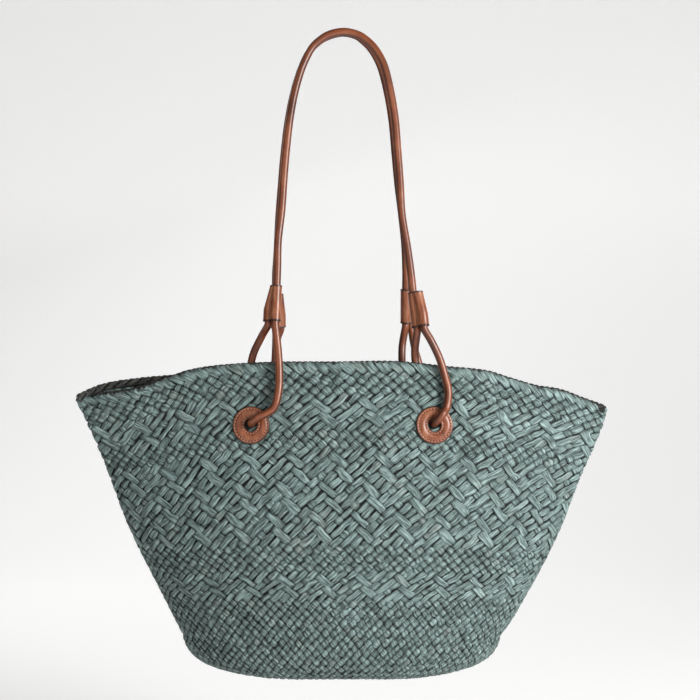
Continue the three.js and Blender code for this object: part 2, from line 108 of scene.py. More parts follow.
# Where the rows of crossings lie on the wall. row: counted down from the rim.
# down: share of the way from the rim to the start of the base's turned edge.
ROW_MARKS = np.array(
    [(0, 0.0), (7, 0.127), (13, 0.223), (18, 0.315), (36, 0.623), (43, 0.735), (49, 0.812), (60, 1.0)],
    dtype=[("row", float), ("down", float)],
)

# One repeat of the pattern of long floats: four falling strands, and the rows down from its first one.
# A 1 is a crossing where the falling strand lies on top.
FLOATS = np.array(
    [
        [1, 1, 1, 0, 0, 0],
        [0, 0, 0, 0, 1, 0],
        [0, 1, 0, 0, 0, 0],
        [0, 0, 0, 1, 1, 1],
    ]
)

# The bands of long floats. row: the band's first row below the rim. repeats: how often the pattern repeats
# downwards. shift: the falling strand that starts a repeat.
BANDS = [
    {"row": 7, "repeats": 1, "shift": 3},
    {"row": 18, "repeats": 3, "shift": 3},
    {"row": 43, "repeats": 1, "shift": 1},
]

# The keepers. side: which wall. x: place of the main cord, as a share of half the eyelets' spacing.
# lean: degrees to the right at the foot. end: which side of the main cord the cord's end lies on, -1 left or
# 1 right. end_outer: whether the end comes from the leg outside the wall. turn: degrees that the outer leg
# stands away from the wall. raise: share of its length that the keeper lies higher. taper: share of the pitch
# by which its top is drawn in.
KEEPER_COLUMNS = ("name", "side", "x", "lean", "end", "end_outer", "turn", "raise", "taper")
KEEPERS = [
    dict(zip(KEEPER_COLUMNS, row))
    for row in (
        ("front_left", -1, -0.734, -2, -1, False, 34, 0, 0.85),
        ("front_right", -1, 0.795, 6, 1, True, 36, -0.16, 0.4),
        ("back_left", 1, -0.776, 0, 1, True, 55, -0.14, 0.5),
        ("back_right", 1, 0.72, 0, 1, True, 45, 0, 0.5),
    )
]

# The handles' arch, from the hook down to a keeper. Each row is a share of that height, then the share of the
# way out to the keeper for the front handle's left and right sides and the back handle's.
ARCH = [
    (0.0, 0.0, 0.0, 0.0, 0.0),
    (0.012, 0.219, 0.215, 0.209, 0.215),
    (0.031, 0.341, 0.33, 0.346, 0.32),
    (0.062, 0.469, 0.45, 0.47, 0.442),
    (0.123, 0.598, 0.583, 0.593, 0.58),
    (0.215, 0.716, 0.675, 0.71, 0.685),
    (0.337, 0.809, 0.751, 0.806, 0.773),
    (0.46, 0.864, 0.787, 0.866, 0.82),
    (0.582, 0.902, 0.82, 0.908, 0.868),
    (0.705, 0.933, 0.845, 0.947, 0.93),
    (0.828, 0.985, 0.92, 0.973, 0.983),
    (0.93, 0.992, 0.972, 0.999, 1.0),
]
ARCH_COLUMNS = {"front_left": 1, "front_right": 2, "back_left": 3, "back_right": 4}

# The legs below a keeper. Each place is the share of the height from the keeper to the eyelet, the share of
# the way across from the eyelet back to the keeper, how far the leg's middle stands off the wall's face in
# cord diameters, and 1 where the leg lies over the eyelet.
LEGS = {
    "front_left_outer": [
        (0.28, 1.13, 0.7, 0),
        (0.5, 1.18, 0.75, 0),
        (0.68, 1.15, 0.5, 1),
        (0.85, 0.93, 0.65, 1),
    ],
    "front_left_inner": [
        (0.12, 0.57, 1.1, 0),
        (0.3, 0.05, 1.25, 0),
        (0.52, -0.2, 1.3, 0),
        (0.72, -0.2, 1.35, 0),
    ],
    "front_right_outer": [
        (0.12, 0.34, 0.7, 0),
        (0.3, -0.5, 0.7, 0),
        (0.48, -1.04, 0.75, 0),
        (0.67, -1.42, 0.5, 1),
        (0.84, -1.18, 0.65, 1),
    ],
    "front_right_inner": [(0.25, 1.12, 1.25, 0), (0.5, 0.92, 1.3, 0), (0.72, 0.55, 1.35, 0)],
    "back_left_outer": [
        (0.1, 0.86, 0.7, 0),
        (0.25, 0.8, 0.7, 0),
        (0.48, 0.75, 0.75, 0),
        (0.65, 0.68, 0.5, 1),
        (0.78, 0.58, 0.7, 1),
    ],
    "back_left_inner": [(0.25, 1.0, 1.25, 0), (0.5, 0.9, 1.3, 0), (0.72, 0.6, 1.35, 0)],
    "back_right_outer": [
        (0.25, 0.8, 0.7, 0),
        (0.48, 0.45, 0.75, 0),
        (0.65, 0.15, 0.5, 1),
        (0.79, 0.0, 0.7, 1),
    ],
    "back_right_inner": [(0.25, 1.16, 1.25, 0), (0.5, 1.1, 1.3, 0), (0.72, 0.75, 1.35, 0)],
}


def length(name, text, default):
    """A property that holds a length in metres."""
    return bpy.props.FloatProperty(
        name=name, description=text, default=default, precision=4, subtype="DISTANCE", unit="LENGTH"
    )


def share(name, text, default):
    """A property that holds a plain number."""
    return bpy.props.FloatProperty(name=name, description=text, default=default, precision=3)


def colour(name, text, default):
    """A property that holds a linear colour."""
    return bpy.props.FloatVectorProperty(
        name=name, description=text, default=default, size=3, subtype="COLOR", min=0, max=1
    )


def whole(name, text, default):
    """A property that holds a whole number."""
    return bpy.props.IntProperty(name=name, description=text, default=default)


class BasketSize(bpy.types.PropertyGroup):
    """Sizes of the basket"""

    rim_width: length("Rim width", "Corner to corner across the mouth", basket_high.x - basket_low.x)
    rim_top: length("Rim top", "Height of the rim's highest place", basket_high.z)
    base_z: length("Base height", "Height of the base", basket_low.z)
    mouth_depth: length("Mouth depth", "Front to back at the middle of the mouth", 0.092)
    base_width: length("Base width", "Width of the base", 0.322)
    base_depth: length("Base depth", "Depth of the base", 0.150)
    rim_arch: length("Rim arch", "How far the corners lie below the top of the rim", 0.0425)
    base_edge: length("Base edge radius", "Radius where the wall turns under", 0.030)
    base_rise: length("Base rise", "How far the base's ends curl up", 0.012)
    base_flat: share("Base flat", "Share of the base's width that stays flat", 0.3)
    wall: length("Wall", "Thickness of the woven wall", 0.003)


class WeaveLook(bpy.types.PropertyGroup):
    """Sizes and colours of the straw"""

    strands: whole("Strands", "Strands that slant each way round the bag", 92)
    edge_rows: whole("Edge rows", "Rows of crossings round the base's edge", 10)
    lift: length("Lift", "How far a strand's middle rises and falls", 0.00105)
    thickness: length("Strand thickness", "Thickness of a folded straw strand", 0.0018)
    falling_width: share("Falling strand width", "Share of their spacing that falling strands fill", 1.22)
    rising_width: share("Rising strand width", "Share of their spacing that rising strands fill", 1.02)
    narrowing: share("Narrowing", "How much narrower a strand is where it dives", 0.22)
    unevenness: share("Unevenness", "How much strands differ in width and place, in spacings", 0.17)
    base_spacing: length("Base spacing", "Spacing of the strands in the base", 0.0068)
    # the darkest fibre colour, also reached through the painted shade where strands dive
    dark: colour("Dark straw", "Colour in the straw's folds", (0.01, 0.016, 0.015))
    middle: colour("Middle straw", "Colour of most of the straw", (0.118, 0.176, 0.164))
    # the palest fibre colour, also reached through the painted highlight on the crests
    light: colour("Light straw", "Colour on the straw's crests", (0.39, 0.52, 0.495))
    brown: colour("Brown straw", "Colour of the straw that took less dye", (0.2, 0.2, 0.165))
    rope: colour("Braid straw", "Colour of the braid inside the rim", (0.06, 0.06, 0.052))
    seed: whole("Seed", "Seed of the strands' small differences", 7)


class LeatherLook(bpy.types.PropertyGroup):
    """Sizes and colours of the leather"""

    cord_diameter: length("Cord diameter", "Thickness of a handle", 0.008)
    eyelet_spacing: length("Eyelet spacing", "Between the middles of a side's two eyelets", 0.183)
    eyelet_drop: length("Eyelet drop", "Top of the rim to the middle of an eyelet", 0.064)
    eyelet_diameter: length("Eyelet diameter", "Across an eyelet", 0.038)
    eyelet_hole: length("Eyelet hole", "Across an eyelet's hole", 0.013)
    eyelet_edge: length("Eyelet edge", "Thickness at an eyelet's edges", 0.002)
    eyelet_crown: length("Eyelet crown", "How much thicker an eyelet is midway", 0.0012)
    keeper_length: length("Keeper length", "Length of a keeper", 0.036)
    keeper_wall: length("Keeper wall", "Thickness of a keeper's leather", 0.0012)
    keeper_rise: length("Keeper rise", "Top of the rim to the foot of a keeper", 0.040)
    tan: colour("Tan", "Colour of most of the leather", (0.215, 0.06, 0.022))
    pale: colour("Pale tan", "Colour where the leather is rubbed", (0.4, 0.16, 0.08))
    deep: colour("Deep tan", "Colour where the leather is darkest", (0.09, 0.023, 0.01))
    edge: colour("Painted edge", "Colour of the painted edges", (0.018, 0.008, 0.007))
    thread: colour("Thread", "Colour of the stitches", (0.55, 0.27, 0.19))


class StudioLook(bpy.types.PropertyGroup):
    """Camera and light"""

    camera_x: length("Camera across", "The camera's place to the right", 0.0072)
    camera_distance: length("Camera distance", "From the camera to the bag", 1.7)
    camera_z: length("Camera height", "Height of the camera", -0.3234)
    lens: bpy.props.FloatProperty(
        name="Lens", description="Focal length", default=84.857, subtype="DISTANCE_CAMERA", unit="CAMERA"
    )
    key: bpy.props.FloatProperty(
        name="Key light", description="Strength of the key light", default=40, subtype="POWER"
    )
    fill: share("Fill light", "Strength of the light from all round", 0.12)
    backdrop: colour("Backdrop", "Colour of the floor and the backdrop", (0.85, 0.845, 0.84))
    glow: share("Backdrop glow", "How far the backdrop is lit by itself", 0.4)


# Where and how a tool's settings are kept on the scene
SETTINGS = {
    "straw_basket": BasketSize,
    "straw_weave": WeaveLook,
    "bag_leather": LeatherLook,
    "bag_studio": StudioLook,
}

GAP = 0.0004  # between the wall and an eyelet
CORD_FIT = 0.0003  # round a cord in its keeper
SOLID_SIDES = 8  # sides of the solids that stand for the cords
CORD_END = 0.34  # share of the keeper's length that the cord's end reaches up
THREADING_BEND = 1.5  # radius of the cord's bend into an eyelet, in cord diameters
THREADING_STEPS = (80, 55, 28, 0)  # degrees of that bend
KEEPER_LEAD = 0.0025  # straight run of the cords below a keeper
CURVE_STEPS = 40  # places between two points of a cord's route before it is spaced evenly
WALL_TRIES = 30  # steps in which a place on the wall is found
WALL_STEP = 0.002  # between the places that give the wall's direction, in radians and in levels


def unit(vectors):
    """Vectors brought to a length of one."""
    return vectors / np.linalg.norm(vectors, axis=-1, keepdims=True)


def smooth_step(t):
    """A smooth rise from 0 to 1."""
    return t * t * (3 - 2 * t)


def hermite(start, leave, end, arrive, t):
    """A curve from start to end with given slopes at both."""
    return (
        start * (2 * t**3 - 3 * t**2 + 1)
        + leave * (t**3 - 2 * t**2 + t)
        + end * (3 * t**2 - 2 * t**3)
        + arrive * (t**3 - t**2)
    )


def walked(points):
    """The distance covered at each point of a line."""
    return np.concatenate([[0], np.cumsum(np.linalg.norm(np.diff(points, axis=0), axis=1))])


def read_off(points, covered, wanted):
    """The places of a line at wanted distances."""
    return np.stack([np.interp(wanted, covered, points[:, axis]) for axis in range(3)], -1)


def along(table, column, at):
    """A table's column at a place between its rows, on a smooth curve through them."""
    x = table[table.dtype.names[0]]
    y = table[column]
    at = np.asarray(at, float)
    row = np.clip(np.searchsorted(x, at, side="left") - 1, 0, len(x) - 2)
    before = np.maximum(row - 1, 0)
    after = np.minimum(row + 2, len(x) - 1)
    span = x[row + 1] - x[row]
    t = np.clip((at - x[row]) / span, 0, 1)
    leave = (y[row + 1] - y[before]) / (x[row + 1] - x[before]) * span
    arrive = (y[after] - y[row]) / (x[after] - x[row]) * span
    return hermite(y[row], leave, y[row + 1], arrive, t)


def rim_height(size, angle):
    """The rim's height at an angle round the bag: 0 is the right corner, a quarter turn the back."""
    across = np.cos(angle)
    lift = np.where(np.sin(angle) < 0, along(RIM, "front", across), along(RIM, "back", across))
    return size.rim_top - size.rim_arch * (1 - lift)


def base_height(size, x):
    """The height of the underside: flat in the middle and curled up towards the ends."""
    out = np.maximum(0, (np.abs(x) / (size.base_width / 2) - size.base_flat) / (1 - size.base_flat))
    return size.base_z + size.base_rise * out**2


def section(size, level):
    """Half width, half depth, pinch and middle of the section at a level."""
    widen = along(SECTIONS, "widen", level)
    close = along(SECTIONS, "close", level)
    width = (size.base_width + (size.rim_width - size.base_width) * widen) / 2
    depth = (size.base_depth + (size.mouth_depth - size.base_depth) * close) / 2
    middle = along(SECTIONS, "sway", level) * size.rim_width / 2
    return width, depth, along(SECTIONS, "pinch", level), middle


def wall_point(size, angle, level, inset=0.0):
    """A point of the wall at an angle and a level, a given distance inside its outer face."""
    width, depth, pinch, middle = section(size, level)
    sine = np.sin(angle)
    foot = base_height(size, size.base_width / 2 * np.cos(angle))
    x = middle + (width - inset) * np.cos(angle)
    y = (depth - inset) * np.sign(sine) * np.abs(sine) ** (1 + pinch)
    z = foot + (rim_height(size, angle) - foot) * level
    return np.stack(np.broadcast_arrays(x, y, z), -1)


def wall_at(size, side, x, z):
    """The wall's outer face at an x and a z, and the direction it faces. Above the rim it goes on upright."""
    level = 0.8  # any level on the wall will do to start from
    for _ in range(WALL_TRIES):
        width, _depth, _pinch, middle = section(size, level)
        angle = side * math.acos(max(-1, min(1, (x - middle) / width)))
        foot = base_height(size, size.base_width / 2 * math.cos(angle))
        level = float((z - foot) / (rim_height(size, angle) - foot))
    held = min(level, 1)
    point = Vector(wall_point(size, angle, held))
    left = Vector(wall_point(size, angle - WALL_STEP, held))
    right = Vector(wall_point(size, angle + WALL_STEP, held))
    around = right - left
    up = point - Vector(wall_point(size, angle, held - WALL_STEP))
    normal = around.cross(up).normalized()
    point.z = z
    return point, normal


class WovenSurface:
    """The middle of the woven wall, laid out by share of the way round and by row down from the rim."""

    ROW_STEPS = 6  # samples for each row
    STRAND_STEPS = 12  # samples for each strand's spacing round the bag
    DENSE = 1440  # angles at which a section is measured
    CORNER_ROUNDING = 2.2  # samples over which a corner is rounded
    CORNER_REACH = 8  # samples each way that take part in it
    ABOVE = 2.5  # rows that go over the rim and down inside
    BELOW = 3.0  # rows past the base's edge
    ROLL = 0.0014  # radius at which the middle of the wall rolls over the rim
    RIM_COVER = 0.0019  # from the middle of the wall to the top of the strands that roll over it

    def __init__(self, size, weave):
        self.count = weave.strands
        self.wall_rows = ROW_MARKS["row"][-1]
        self.rows = self.wall_rows + weave.edge_rows
        self.around = self.count * self.STRAND_STEPS
        total = self.rows + self.ABOVE + self.BELOW
        self.row_values = np.linspace(-self.ABOVE, self.rows + self.BELOW, round(total * self.ROW_STEPS) + 1)
        table = np.array([self.ring(size, weave, row) for row in self.row_values])
        self.points = self.round_corners(table)
        self.aims = self.facing(self.points)

    def ring(self, size, weave, row):
        """One row's points, evenly spaced round the bag."""
        angle = np.linspace(0, TURN, self.DENSE + 1)
        height = size.rim_top - size.base_z
        lowest = size.base_edge / height
        highest = 1 - (self.ROLL + self.RIM_COVER) / height
        inset = size.wall / 2
        if row < 0:
            # the wall rolls over the rim in half a turn and then goes down inside it
            run = -row * self.row_length(height)
            bend = min(run / self.ROLL, math.pi)
            deeper = self.ROLL * (1 - math.cos(bend))
            points = wall_point(size, angle, highest, inset + deeper)
            points[:, 2] += self.ROLL * math.sin(bend) - max(0, run - math.pi * self.ROLL)
        elif row < self.wall_rows:
            level = highest - (highest - lowest) * float(along(ROW_MARKS, "down", row))
            points = wall_point(size, angle, level, inset)
        else:
            edge = size.base_edge - inset
            top = wall_point(size, angle, lowest, inset)
            foot = base_height(size, size.base_width / 2 * np.cos(angle))
            reach = np.hypot(top[:, 0], top[:, 1])
            turned = (row - self.wall_rows) / weave.edge_rows
            bend = math.pi / 2 * min(turned, 1)
            taken_in = edge * (1 - math.cos(bend)) + edge * math.pi / 2 * max(0, turned - 1)
            kept = (reach - taken_in) / reach
            points = top * kept[:, None]
            floor = base_height(size, points[:, 0]) + inset
            points[:, 2] = floor + (top[:, 2] - foot - inset) * (1 - math.sin(bend))
        covered = walked(points)
        return read_off(points, covered, np.linspace(0, covered[-1], self.around + 1)[:-1])

    def row_length(self, height):
        """The length of a row at the rim."""
        return height * ROW_MARKS["down"][1] / ROW_MARKS["row"][1]

    def round_corners(self, table):
        """Takes the sharpness off the corners, and keeps the width."""
        offsets = np.arange(-self.CORNER_REACH, self.CORNER_REACH + 1)
        weights = np.exp(-((offsets / self.CORNER_ROUNDING) ** 2) / 2)
        weights /= weights.sum()
        smooth = sum(w * np.roll(table, o, axis=1) for o, w in zip(offsets, weights))
        middle = (table[:, :, 0].max(1) + table[:, :, 0].min(1)) / 2
        grown = (np.ptp(table[:, :, 0], axis=1) / np.ptp(smooth[:, :, 0], axis=1))[:, None]
        smooth[:, :, 0] = middle[:, None] + (smooth[:, :, 0] - middle[:, None]) * grown
        return smooth

    def facing(self, points):
        """The direction in which each point of the wall faces."""
        around = np.roll(points, -1, axis=1) - np.roll(points, 1, axis=1)
        return unit(np.cross(around, -np.gradient(points, axis=0)))

    def sample(self, table, turn, row):
        """A table's values at shares of a turn and rows."""
        across = (turn % 1) * self.around
        left = np.floor(across).astype(int)
        mix_across = (across - left)[..., None]
        down = (row - self.row_values[0]) * self.ROW_STEPS
        top = np.clip(np.floor(down).astype(int), 0, len(self.row_values) - 2)
        mix_down = (down - top)[..., None]
        left %= self.around
        right = (left + 1) % self.around
        upper = table[top, left] * (1 - mix_across) + table[top, right] * mix_across
        lower = table[top + 1, left] * (1 - mix_across) + table[top + 1, right] * mix_across
        return upper * (1 - mix_down) + lower * mix_down

    def find(self, place):
        """The share of the turn and the row nearest to a place."""
        away = np.linalg.norm(self.points - np.array(place), axis=2)
        nearest_row, nearest_turn = np.unravel_index(np.argmin(away), away.shape)
        return nearest_turn / self.around, self.row_values[nearest_row]

    def at(self, turn, row):
        """Points and facing directions."""
        return self.sample(self.points, turn, row), unit(self.sample(self.aims, turn, row))


def falling_on_top(falling, row):
    """Whether the falling strand is on top where it crosses a row of the rim, the plain weave or a band."""
    row = np.asarray(row)
    falling = np.asarray(falling)
    top = np.where(row < 2, 1, row % 2)
    strands, rows = FLOATS.shape
    for band in BANDS:
        below = row - band["row"]
        past = below >= rows * band["repeats"]
        chart = FLOATS[(falling - band["shift"]) % strands, below % rows]
        # under a band the plain weave counts its rows from the band's first one
        top = np.where((below >= 0) & ~past, chart, np.where(past, below % 2, top))
    return top


def set_numbers(mesh, label, values):
    """Keeps one number for each point of a mesh, for its material."""
    attribute = mesh.attributes.new(label, "FLOAT", "POINT")
    attribute.data.foreach_set("value", np.asarray(values, np.float32).ravel())


def new_mesh(name, points, faces, uv=None, **numbers):
    """A smooth shaded object from arrays. Each of the numbers is kept for every point."""
    mesh = bpy.data.meshes.new(name)
    mesh.from_pydata(points.reshape(-1, 3).tolist(), [], faces)
    mesh.polygons.foreach_set("use_smooth", np.ones(len(mesh.polygons), bool))
    if uv is not None:
        layer = mesh.uv_layers.new(name="along_and_across")
        layer.data.foreach_set("uv", np.asarray(uv, np.float32).ravel())
    for label, values in numbers.items():
        set_numbers(mesh, label, values)
    mesh.validate()
    mesh.update()
    thing = bpy.data.objects.new(name, mesh)
    bpy.context.scene.collection.objects.link(thing)
    return thing


def tube_faces(tubes, rings, corners):
    """The sides of tubes made of rings, the caps that close them, and each side's places along and round."""
    tube, ring, corner = np.meshgrid(*map(np.arange, (tubes, rings - 1, corners)), indexing="ij")
    here = (tube * rings + ring) * corners
    further = here + corners
    turned = (corner + 1) % corners
    quads = np.stack([here + corner, further + corner, further + turned, here + turned], -1)
    ring_uv = np.stack([ring, ring + 1, ring + 1, ring], -1)
    corner_uv = np.stack([corner, corner, corner + 1, corner + 1], -1)
    tube_of = np.broadcast_to(tube[..., None], ring_uv.shape)
    caps = []
    for first in range(0, tubes * rings * corners, rings * corners):
        last = first + (rings - 1) * corners
        caps.append([first + k for k in range(corners)])
        caps.append([last + k for k in reversed(range(corners))])
    return quads.reshape(-1, 4), caps, [part.reshape(-1, 4) for part in (tube_of, ring_uv, corner_uv)]


# A strand's section: across, in half widths, and up, in half thicknesses. Its two crests are on the outside.
STRAND_SECTION = [
    (-1.0, 0.05),
    (-0.72, 0.78),
    (0.0, 0.62),
    (0.7, 0.86),
    (1.0, 0.05),
    (0.5, -0.8),
    (-0.5, -0.8),
]
# the straw's material paints shade at the corners where this is high
SECTION_EDGE = np.array([1.0, 0.15, 0.4, 0.1, 1.0, 0.6, 0.6])  # how near each corner is to the strand's edge
CREASE = 2  # the corner between the crests
CREASED = (1, 2, 3)  # the corners that move with it
CROSSING_STEPS = 4  # places along a strand for each crossing
GRAIN_START = 3  # metres of grain among which each strand starts by chance
GRAIN_APART = 1.37  # from one strand's grain to the next one's


def strand_mesh(name, placed, tones, crests):
    """Straw strands as one mesh. placed goes by strand, place and corner, the others by strand and place."""
    tubes, rings, corners = placed.shape[:3]
    quads, caps, (tube_of, ring_uv, corner_uv) = tube_faces(tubes, rings, corners)
    rng = np.random.default_rng(sum(map(ord, name)))
    spacing = np.linalg.norm(np.diff(placed[:, :, CREASE], axis=1), axis=2)
    covered = np.concatenate([np.zeros((tubes, 1)), np.cumsum(spacing, axis=1)], axis=1)
    covered += rng.uniform(0, GRAIN_START, (tubes, 1))
    uv = np.stack([covered[tube_of, ring_uv], corner_uv / corners + tube_of * GRAIN_APART], -1)
    return new_mesh(
        name,
        placed,
        quads.tolist() + caps,
        uv=np.concatenate([uv.reshape(-1, 2), np.zeros((len(caps) * corners, 2))]),
        # crest and edge also set the straw's painted shade and highlight; tone is the straw's own colour
        tone=np.repeat(tones[..., None], corners, axis=2),
        crest=np.repeat(crests[..., None], corners, axis=2),
        edge=np.broadcast_to(SECTION_EDGE, placed.shape[:3]),
    )


def placed_section(points, run, aims, widths, thickness):
    """The corners of a strand's section at each place of its middle line."""
    run = unit(run)
    across = unit(np.cross(aims, run))
    up = np.cross(run, across)
    half = np.asarray(widths)[..., None] / 2
    corners = [points + across * (half * out) + up * (rise * thickness / 2) for out, rise in STRAND_SECTION]
    return np.stack(corners, -2)


def eased(values, steps):
    """Values at whole rows, carried smoothly through so many steps from each to the next."""
    ease = smooth_step(np.arange(steps) / steps)
    spans = values[:, :-1, None] * (1 - ease) + values[:, 1:, None] * ease
    return np.concatenate([spans.reshape(len(values), -1), values[:, -1:]], axis=1)


HOLE_PUSH = 0.95  # spacings by which a strand across a hole's middle makes way
HOLE_EASING = 0.65  # how much less that is for each spacing away from the middle
HOLE_BULGE = 0.26  # spacings by which the strands beside it make way
HOLE_REACH = 3.4  # spacings from a hole's middle within which strands make way


def pushed_aside(surface, holes, strand, row, slant):
    """How far the strands that slant one way move sideways to go round the holes, in spacings."""
    moved = np.zeros(np.broadcast_shapes(strand.shape, row.shape))
    for turn, hole_row in holes:
        off = strand - (turn * surface.count - slant * hole_row)
        off = (off + surface.count / 2) % surface.count - surface.count / 2
        run = row - hole_row + off * (1 if slant > 0 else -1)
        near = np.clip(1 - (run / HOLE_REACH) ** 2, 0, 1) ** 2
        far = np.abs(off)
        push = np.maximum(HOLE_PUSH - HOLE_EASING * far, HOLE_BULGE * (1 - far / HOLE_REACH))
        moved += np.where(off < 0, -1, 1) * near * np.maximum(push, 0)
    return moved


# How much single strands differ
PLACE_WOBBLE = 0.6  # sideways, as a share of the unevenness
LIFT_WOBBLE = 0.14  # up and down, as a share of the lift
ROLL_WOBBLE = 0.5  # how far their sides tip up and down, in half thicknesses
CREASE_SPREAD = 0.35  # how far a strand's crease lies off its middle, in half widths
CREASE_WOBBLE = 0.15  # how far it wanders from there
CREASE_SHALLOW = 0.3  # how much shallower a crease can be, in half thicknesses
TONE_SPREAD = 0.5  # from strand to strand
TONE_WOBBLE = 0.6  # along a strand
FALLING_START = 0.35  # rows after the first one where the falling strands start
RISING_START = 0.7


def wall_strands(surface, weave, falling, chosen, name, holes):
    """Strands that slant one way, from inside the rim down the wall and under the base's edge."""
    rng = np.random.default_rng(weave.seed + (0 if falling else 1) + 10 * int(chosen[0]))
    rows = np.arange(-2, int(surface.rows) + 2)
    strand = chosen[:, None]
    each = (len(chosen), 1)
    crossing = rows[None, :]
    if falling:
        on_top = falling_on_top(strand, crossing)
        slant = 0.5
        facing = -1
        widest = weave.falling_width
        start = FALLING_START
    else:
        on_top = 1 - falling_on_top(strand - crossing, crossing)
        slant = -0.5
        facing = 1
        widest = weave.rising_width
        start = RISING_START
    state = on_top * 2.0 - 1.0

    def wobble(spread):
        return eased(rng.uniform(-spread, spread, state.shape), CROSSING_STEPS)

    height = eased(state, CROSSING_STEPS)
    flat = 1 - weave.narrowing * (1 - height**2)
    own = 1 + rng.uniform(-1, 1, each) * weave.unevenness
    half = widest / 2 * flat * (own + wobble(weave.unevenness))
    row = np.linspace(rows[0], rows[-1], height.shape[1])[None, :]
    aside = facing * pushed_aside(surface, holes, strand, row, slant)
    sideways = wobble(weave.unevenness * PLACE_WOBBLE) + aside
    lifted = height * weave.lift + wobble(weave.lift * LIFT_WOBBLE)
    crease = rng.uniform(-CREASE_SPREAD, CREASE_SPREAD, each) + wobble(CREASE_WOBBLE)
    shallow = CREASE_SHALLOW * (1 - rng.uniform(0.3, 1.0, each))
    roll = wobble(ROLL_WOBBLE)
    places = []
    for corner, (out, rise) in enumerate(STRAND_SECTION):
        across = sideways + facing * half * (out + (crease if corner in CREASED else 0))
        raised = rise + (shallow if corner == CREASE else 0) + roll * out
        # across goes along the strands of the other family, one row for each spacing
        turn = (strand + slant * (row - across)) / surface.count
        point, aim = surface.at(turn, row + across)
        places.append(point + aim * (lifted + raised * weave.thickness / 2)[..., None])
    first = round(start * CROSSING_STEPS)
    tone = rng.normal(0, TONE_SPREAD, each) + eased(rng.normal(0, TONE_WOBBLE, state.shape), CROSSING_STEPS)
    return strand_mesh(name, np.stack(places, 2)[:, first:], tone[:, first:], height[:, first:])


def base_weave_height(size, weave, x):
    """The height of the middle of the base's weave."""
    return base_height(size, x) + size.wall / 2 + weave.lift * 1.2


BASE_OVERLAP = 0.3  # spacings that the base's strands run on over the turned edge
BASE_NARROWING = 0.2  # how much narrower they are where they dive


def base_strands(surface, weave):
    """The strands of the base, in two crossing sets, cut off under the turned edge, and the base's middle."""
    samples = 181
    rim = surface.sample(surface.points, np.linspace(0, 1, samples), np.full(samples, surface.rows - 1.0))
    spacing = weave.base_spacing
    half_width = np.ptp(rim[:, 0]) / 2 + spacing * BASE_OVERLAP
    half_depth = np.ptp(rim[:, 1]) / 2 + spacing * BASE_OVERLAP
    reach = math.ceil((half_width + half_depth) / spacing)
    places = np.arange(-reach * CROSSING_STEPS, reach * CROSSING_STEPS + 1) / CROSSING_STEPS
    made = []
    for way in (1, -1):
        along_way = np.array([1, way]) / math.sqrt(2)
        side_way = np.array([1, -way]) / math.sqrt(2)
        for strand in range(-reach, reach + 1):
            flat = strand * spacing * side_way + places[:, None] * spacing * along_way
            inside = (flat[:, 0] / half_width) ** 2 + (flat[:, 1] / half_depth) ** 2 < 1
            if inside.sum() >= 2 * CROSSING_STEPS:
                made.append((way, strand, places[inside], flat[inside]))
    return made, rim[:, 0].mean()


class BAG_OT_weave_wall(bpy.types.Operator):
    """Weave the basket's wall from strands that slant both ways"""

    bl_idname = "bag.weave_wall"
    bl_label = "Weave the Wall"

    def execute(self, context):
        size = context.scene.straw_basket
        weave = context.scene.straw_weave
        surface = WovenSurface(size, weave)
        straw = straw_material(weave)
        leather = context.scene.bag_leather
        # the strands make way for the cords
        eyelets = all_eyelets(size, leather)
        holes = [surface.find(eyelet.point + eyelet.up * eyelet.bearing) for eyelet in eyelets]
        halves = np.array_split(np.arange(weave.strands), 2)
        for falling, kind in ((True, "falling"), (False, "rising")):
            for half, chosen in zip(("first", "second"), halves):
                piece = wall_strands(surface, weave, falling, chosen, f"straw_{kind}_{half}", holes)
                finish_piece(piece, straw, "straw", "basket")
        return {"FINISHED"}


class BAG_OT_weave_base(bpy.types.Operator):
    """Weave the base inside the turned edge"""

    bl_idname = "bag.weave_base"
    bl_label = "Weave the Base"

    def execute(self, context):
        size = context.scene.straw_basket
        weave = context.scene.straw_weave
        surface = WovenSurface(size, weave)
        made, middle = base_strands(surface, weave)
        rng = np.random.default_rng(weave.seed)
        pieces = []
        for number, (way, strand, places, flat) in enumerate(made):
            lower = np.floor(places).astype(int)
            ease = smooth_step(places - lower)
            state = ((lower + strand) % 2 * 2 - 1) * way
            height = state * (1 - ease) - state * ease
            x = flat[:, 0] + middle
            z = base_weave_height(size, weave, x) - height * weave.lift
            point = np.stack([x, flat[:, 1], z], -1)[None]
            width = weave.base_spacing * (1 - BASE_NARROWING * (1 - height**2))
            own = rng.normal(0, TONE_SPREAD)
            changing = rng.normal(0, TONE_SPREAD, len(places))
            tone = own + np.interp(places, np.round(places).astype(int), changing)
            run = np.gradient(point, axis=1)
            placed = placed_section(point, run, DOWNWARD, width[None], weave.thickness)
            pieces.append(strand_mesh(f"base_strand_{number}", placed, tone[None], height[None]))
        base = join_pieces(pieces, "straw_base")
        finish_piece(base, straw_material(weave), "straw", "basket")
        return {"FINISHED"}


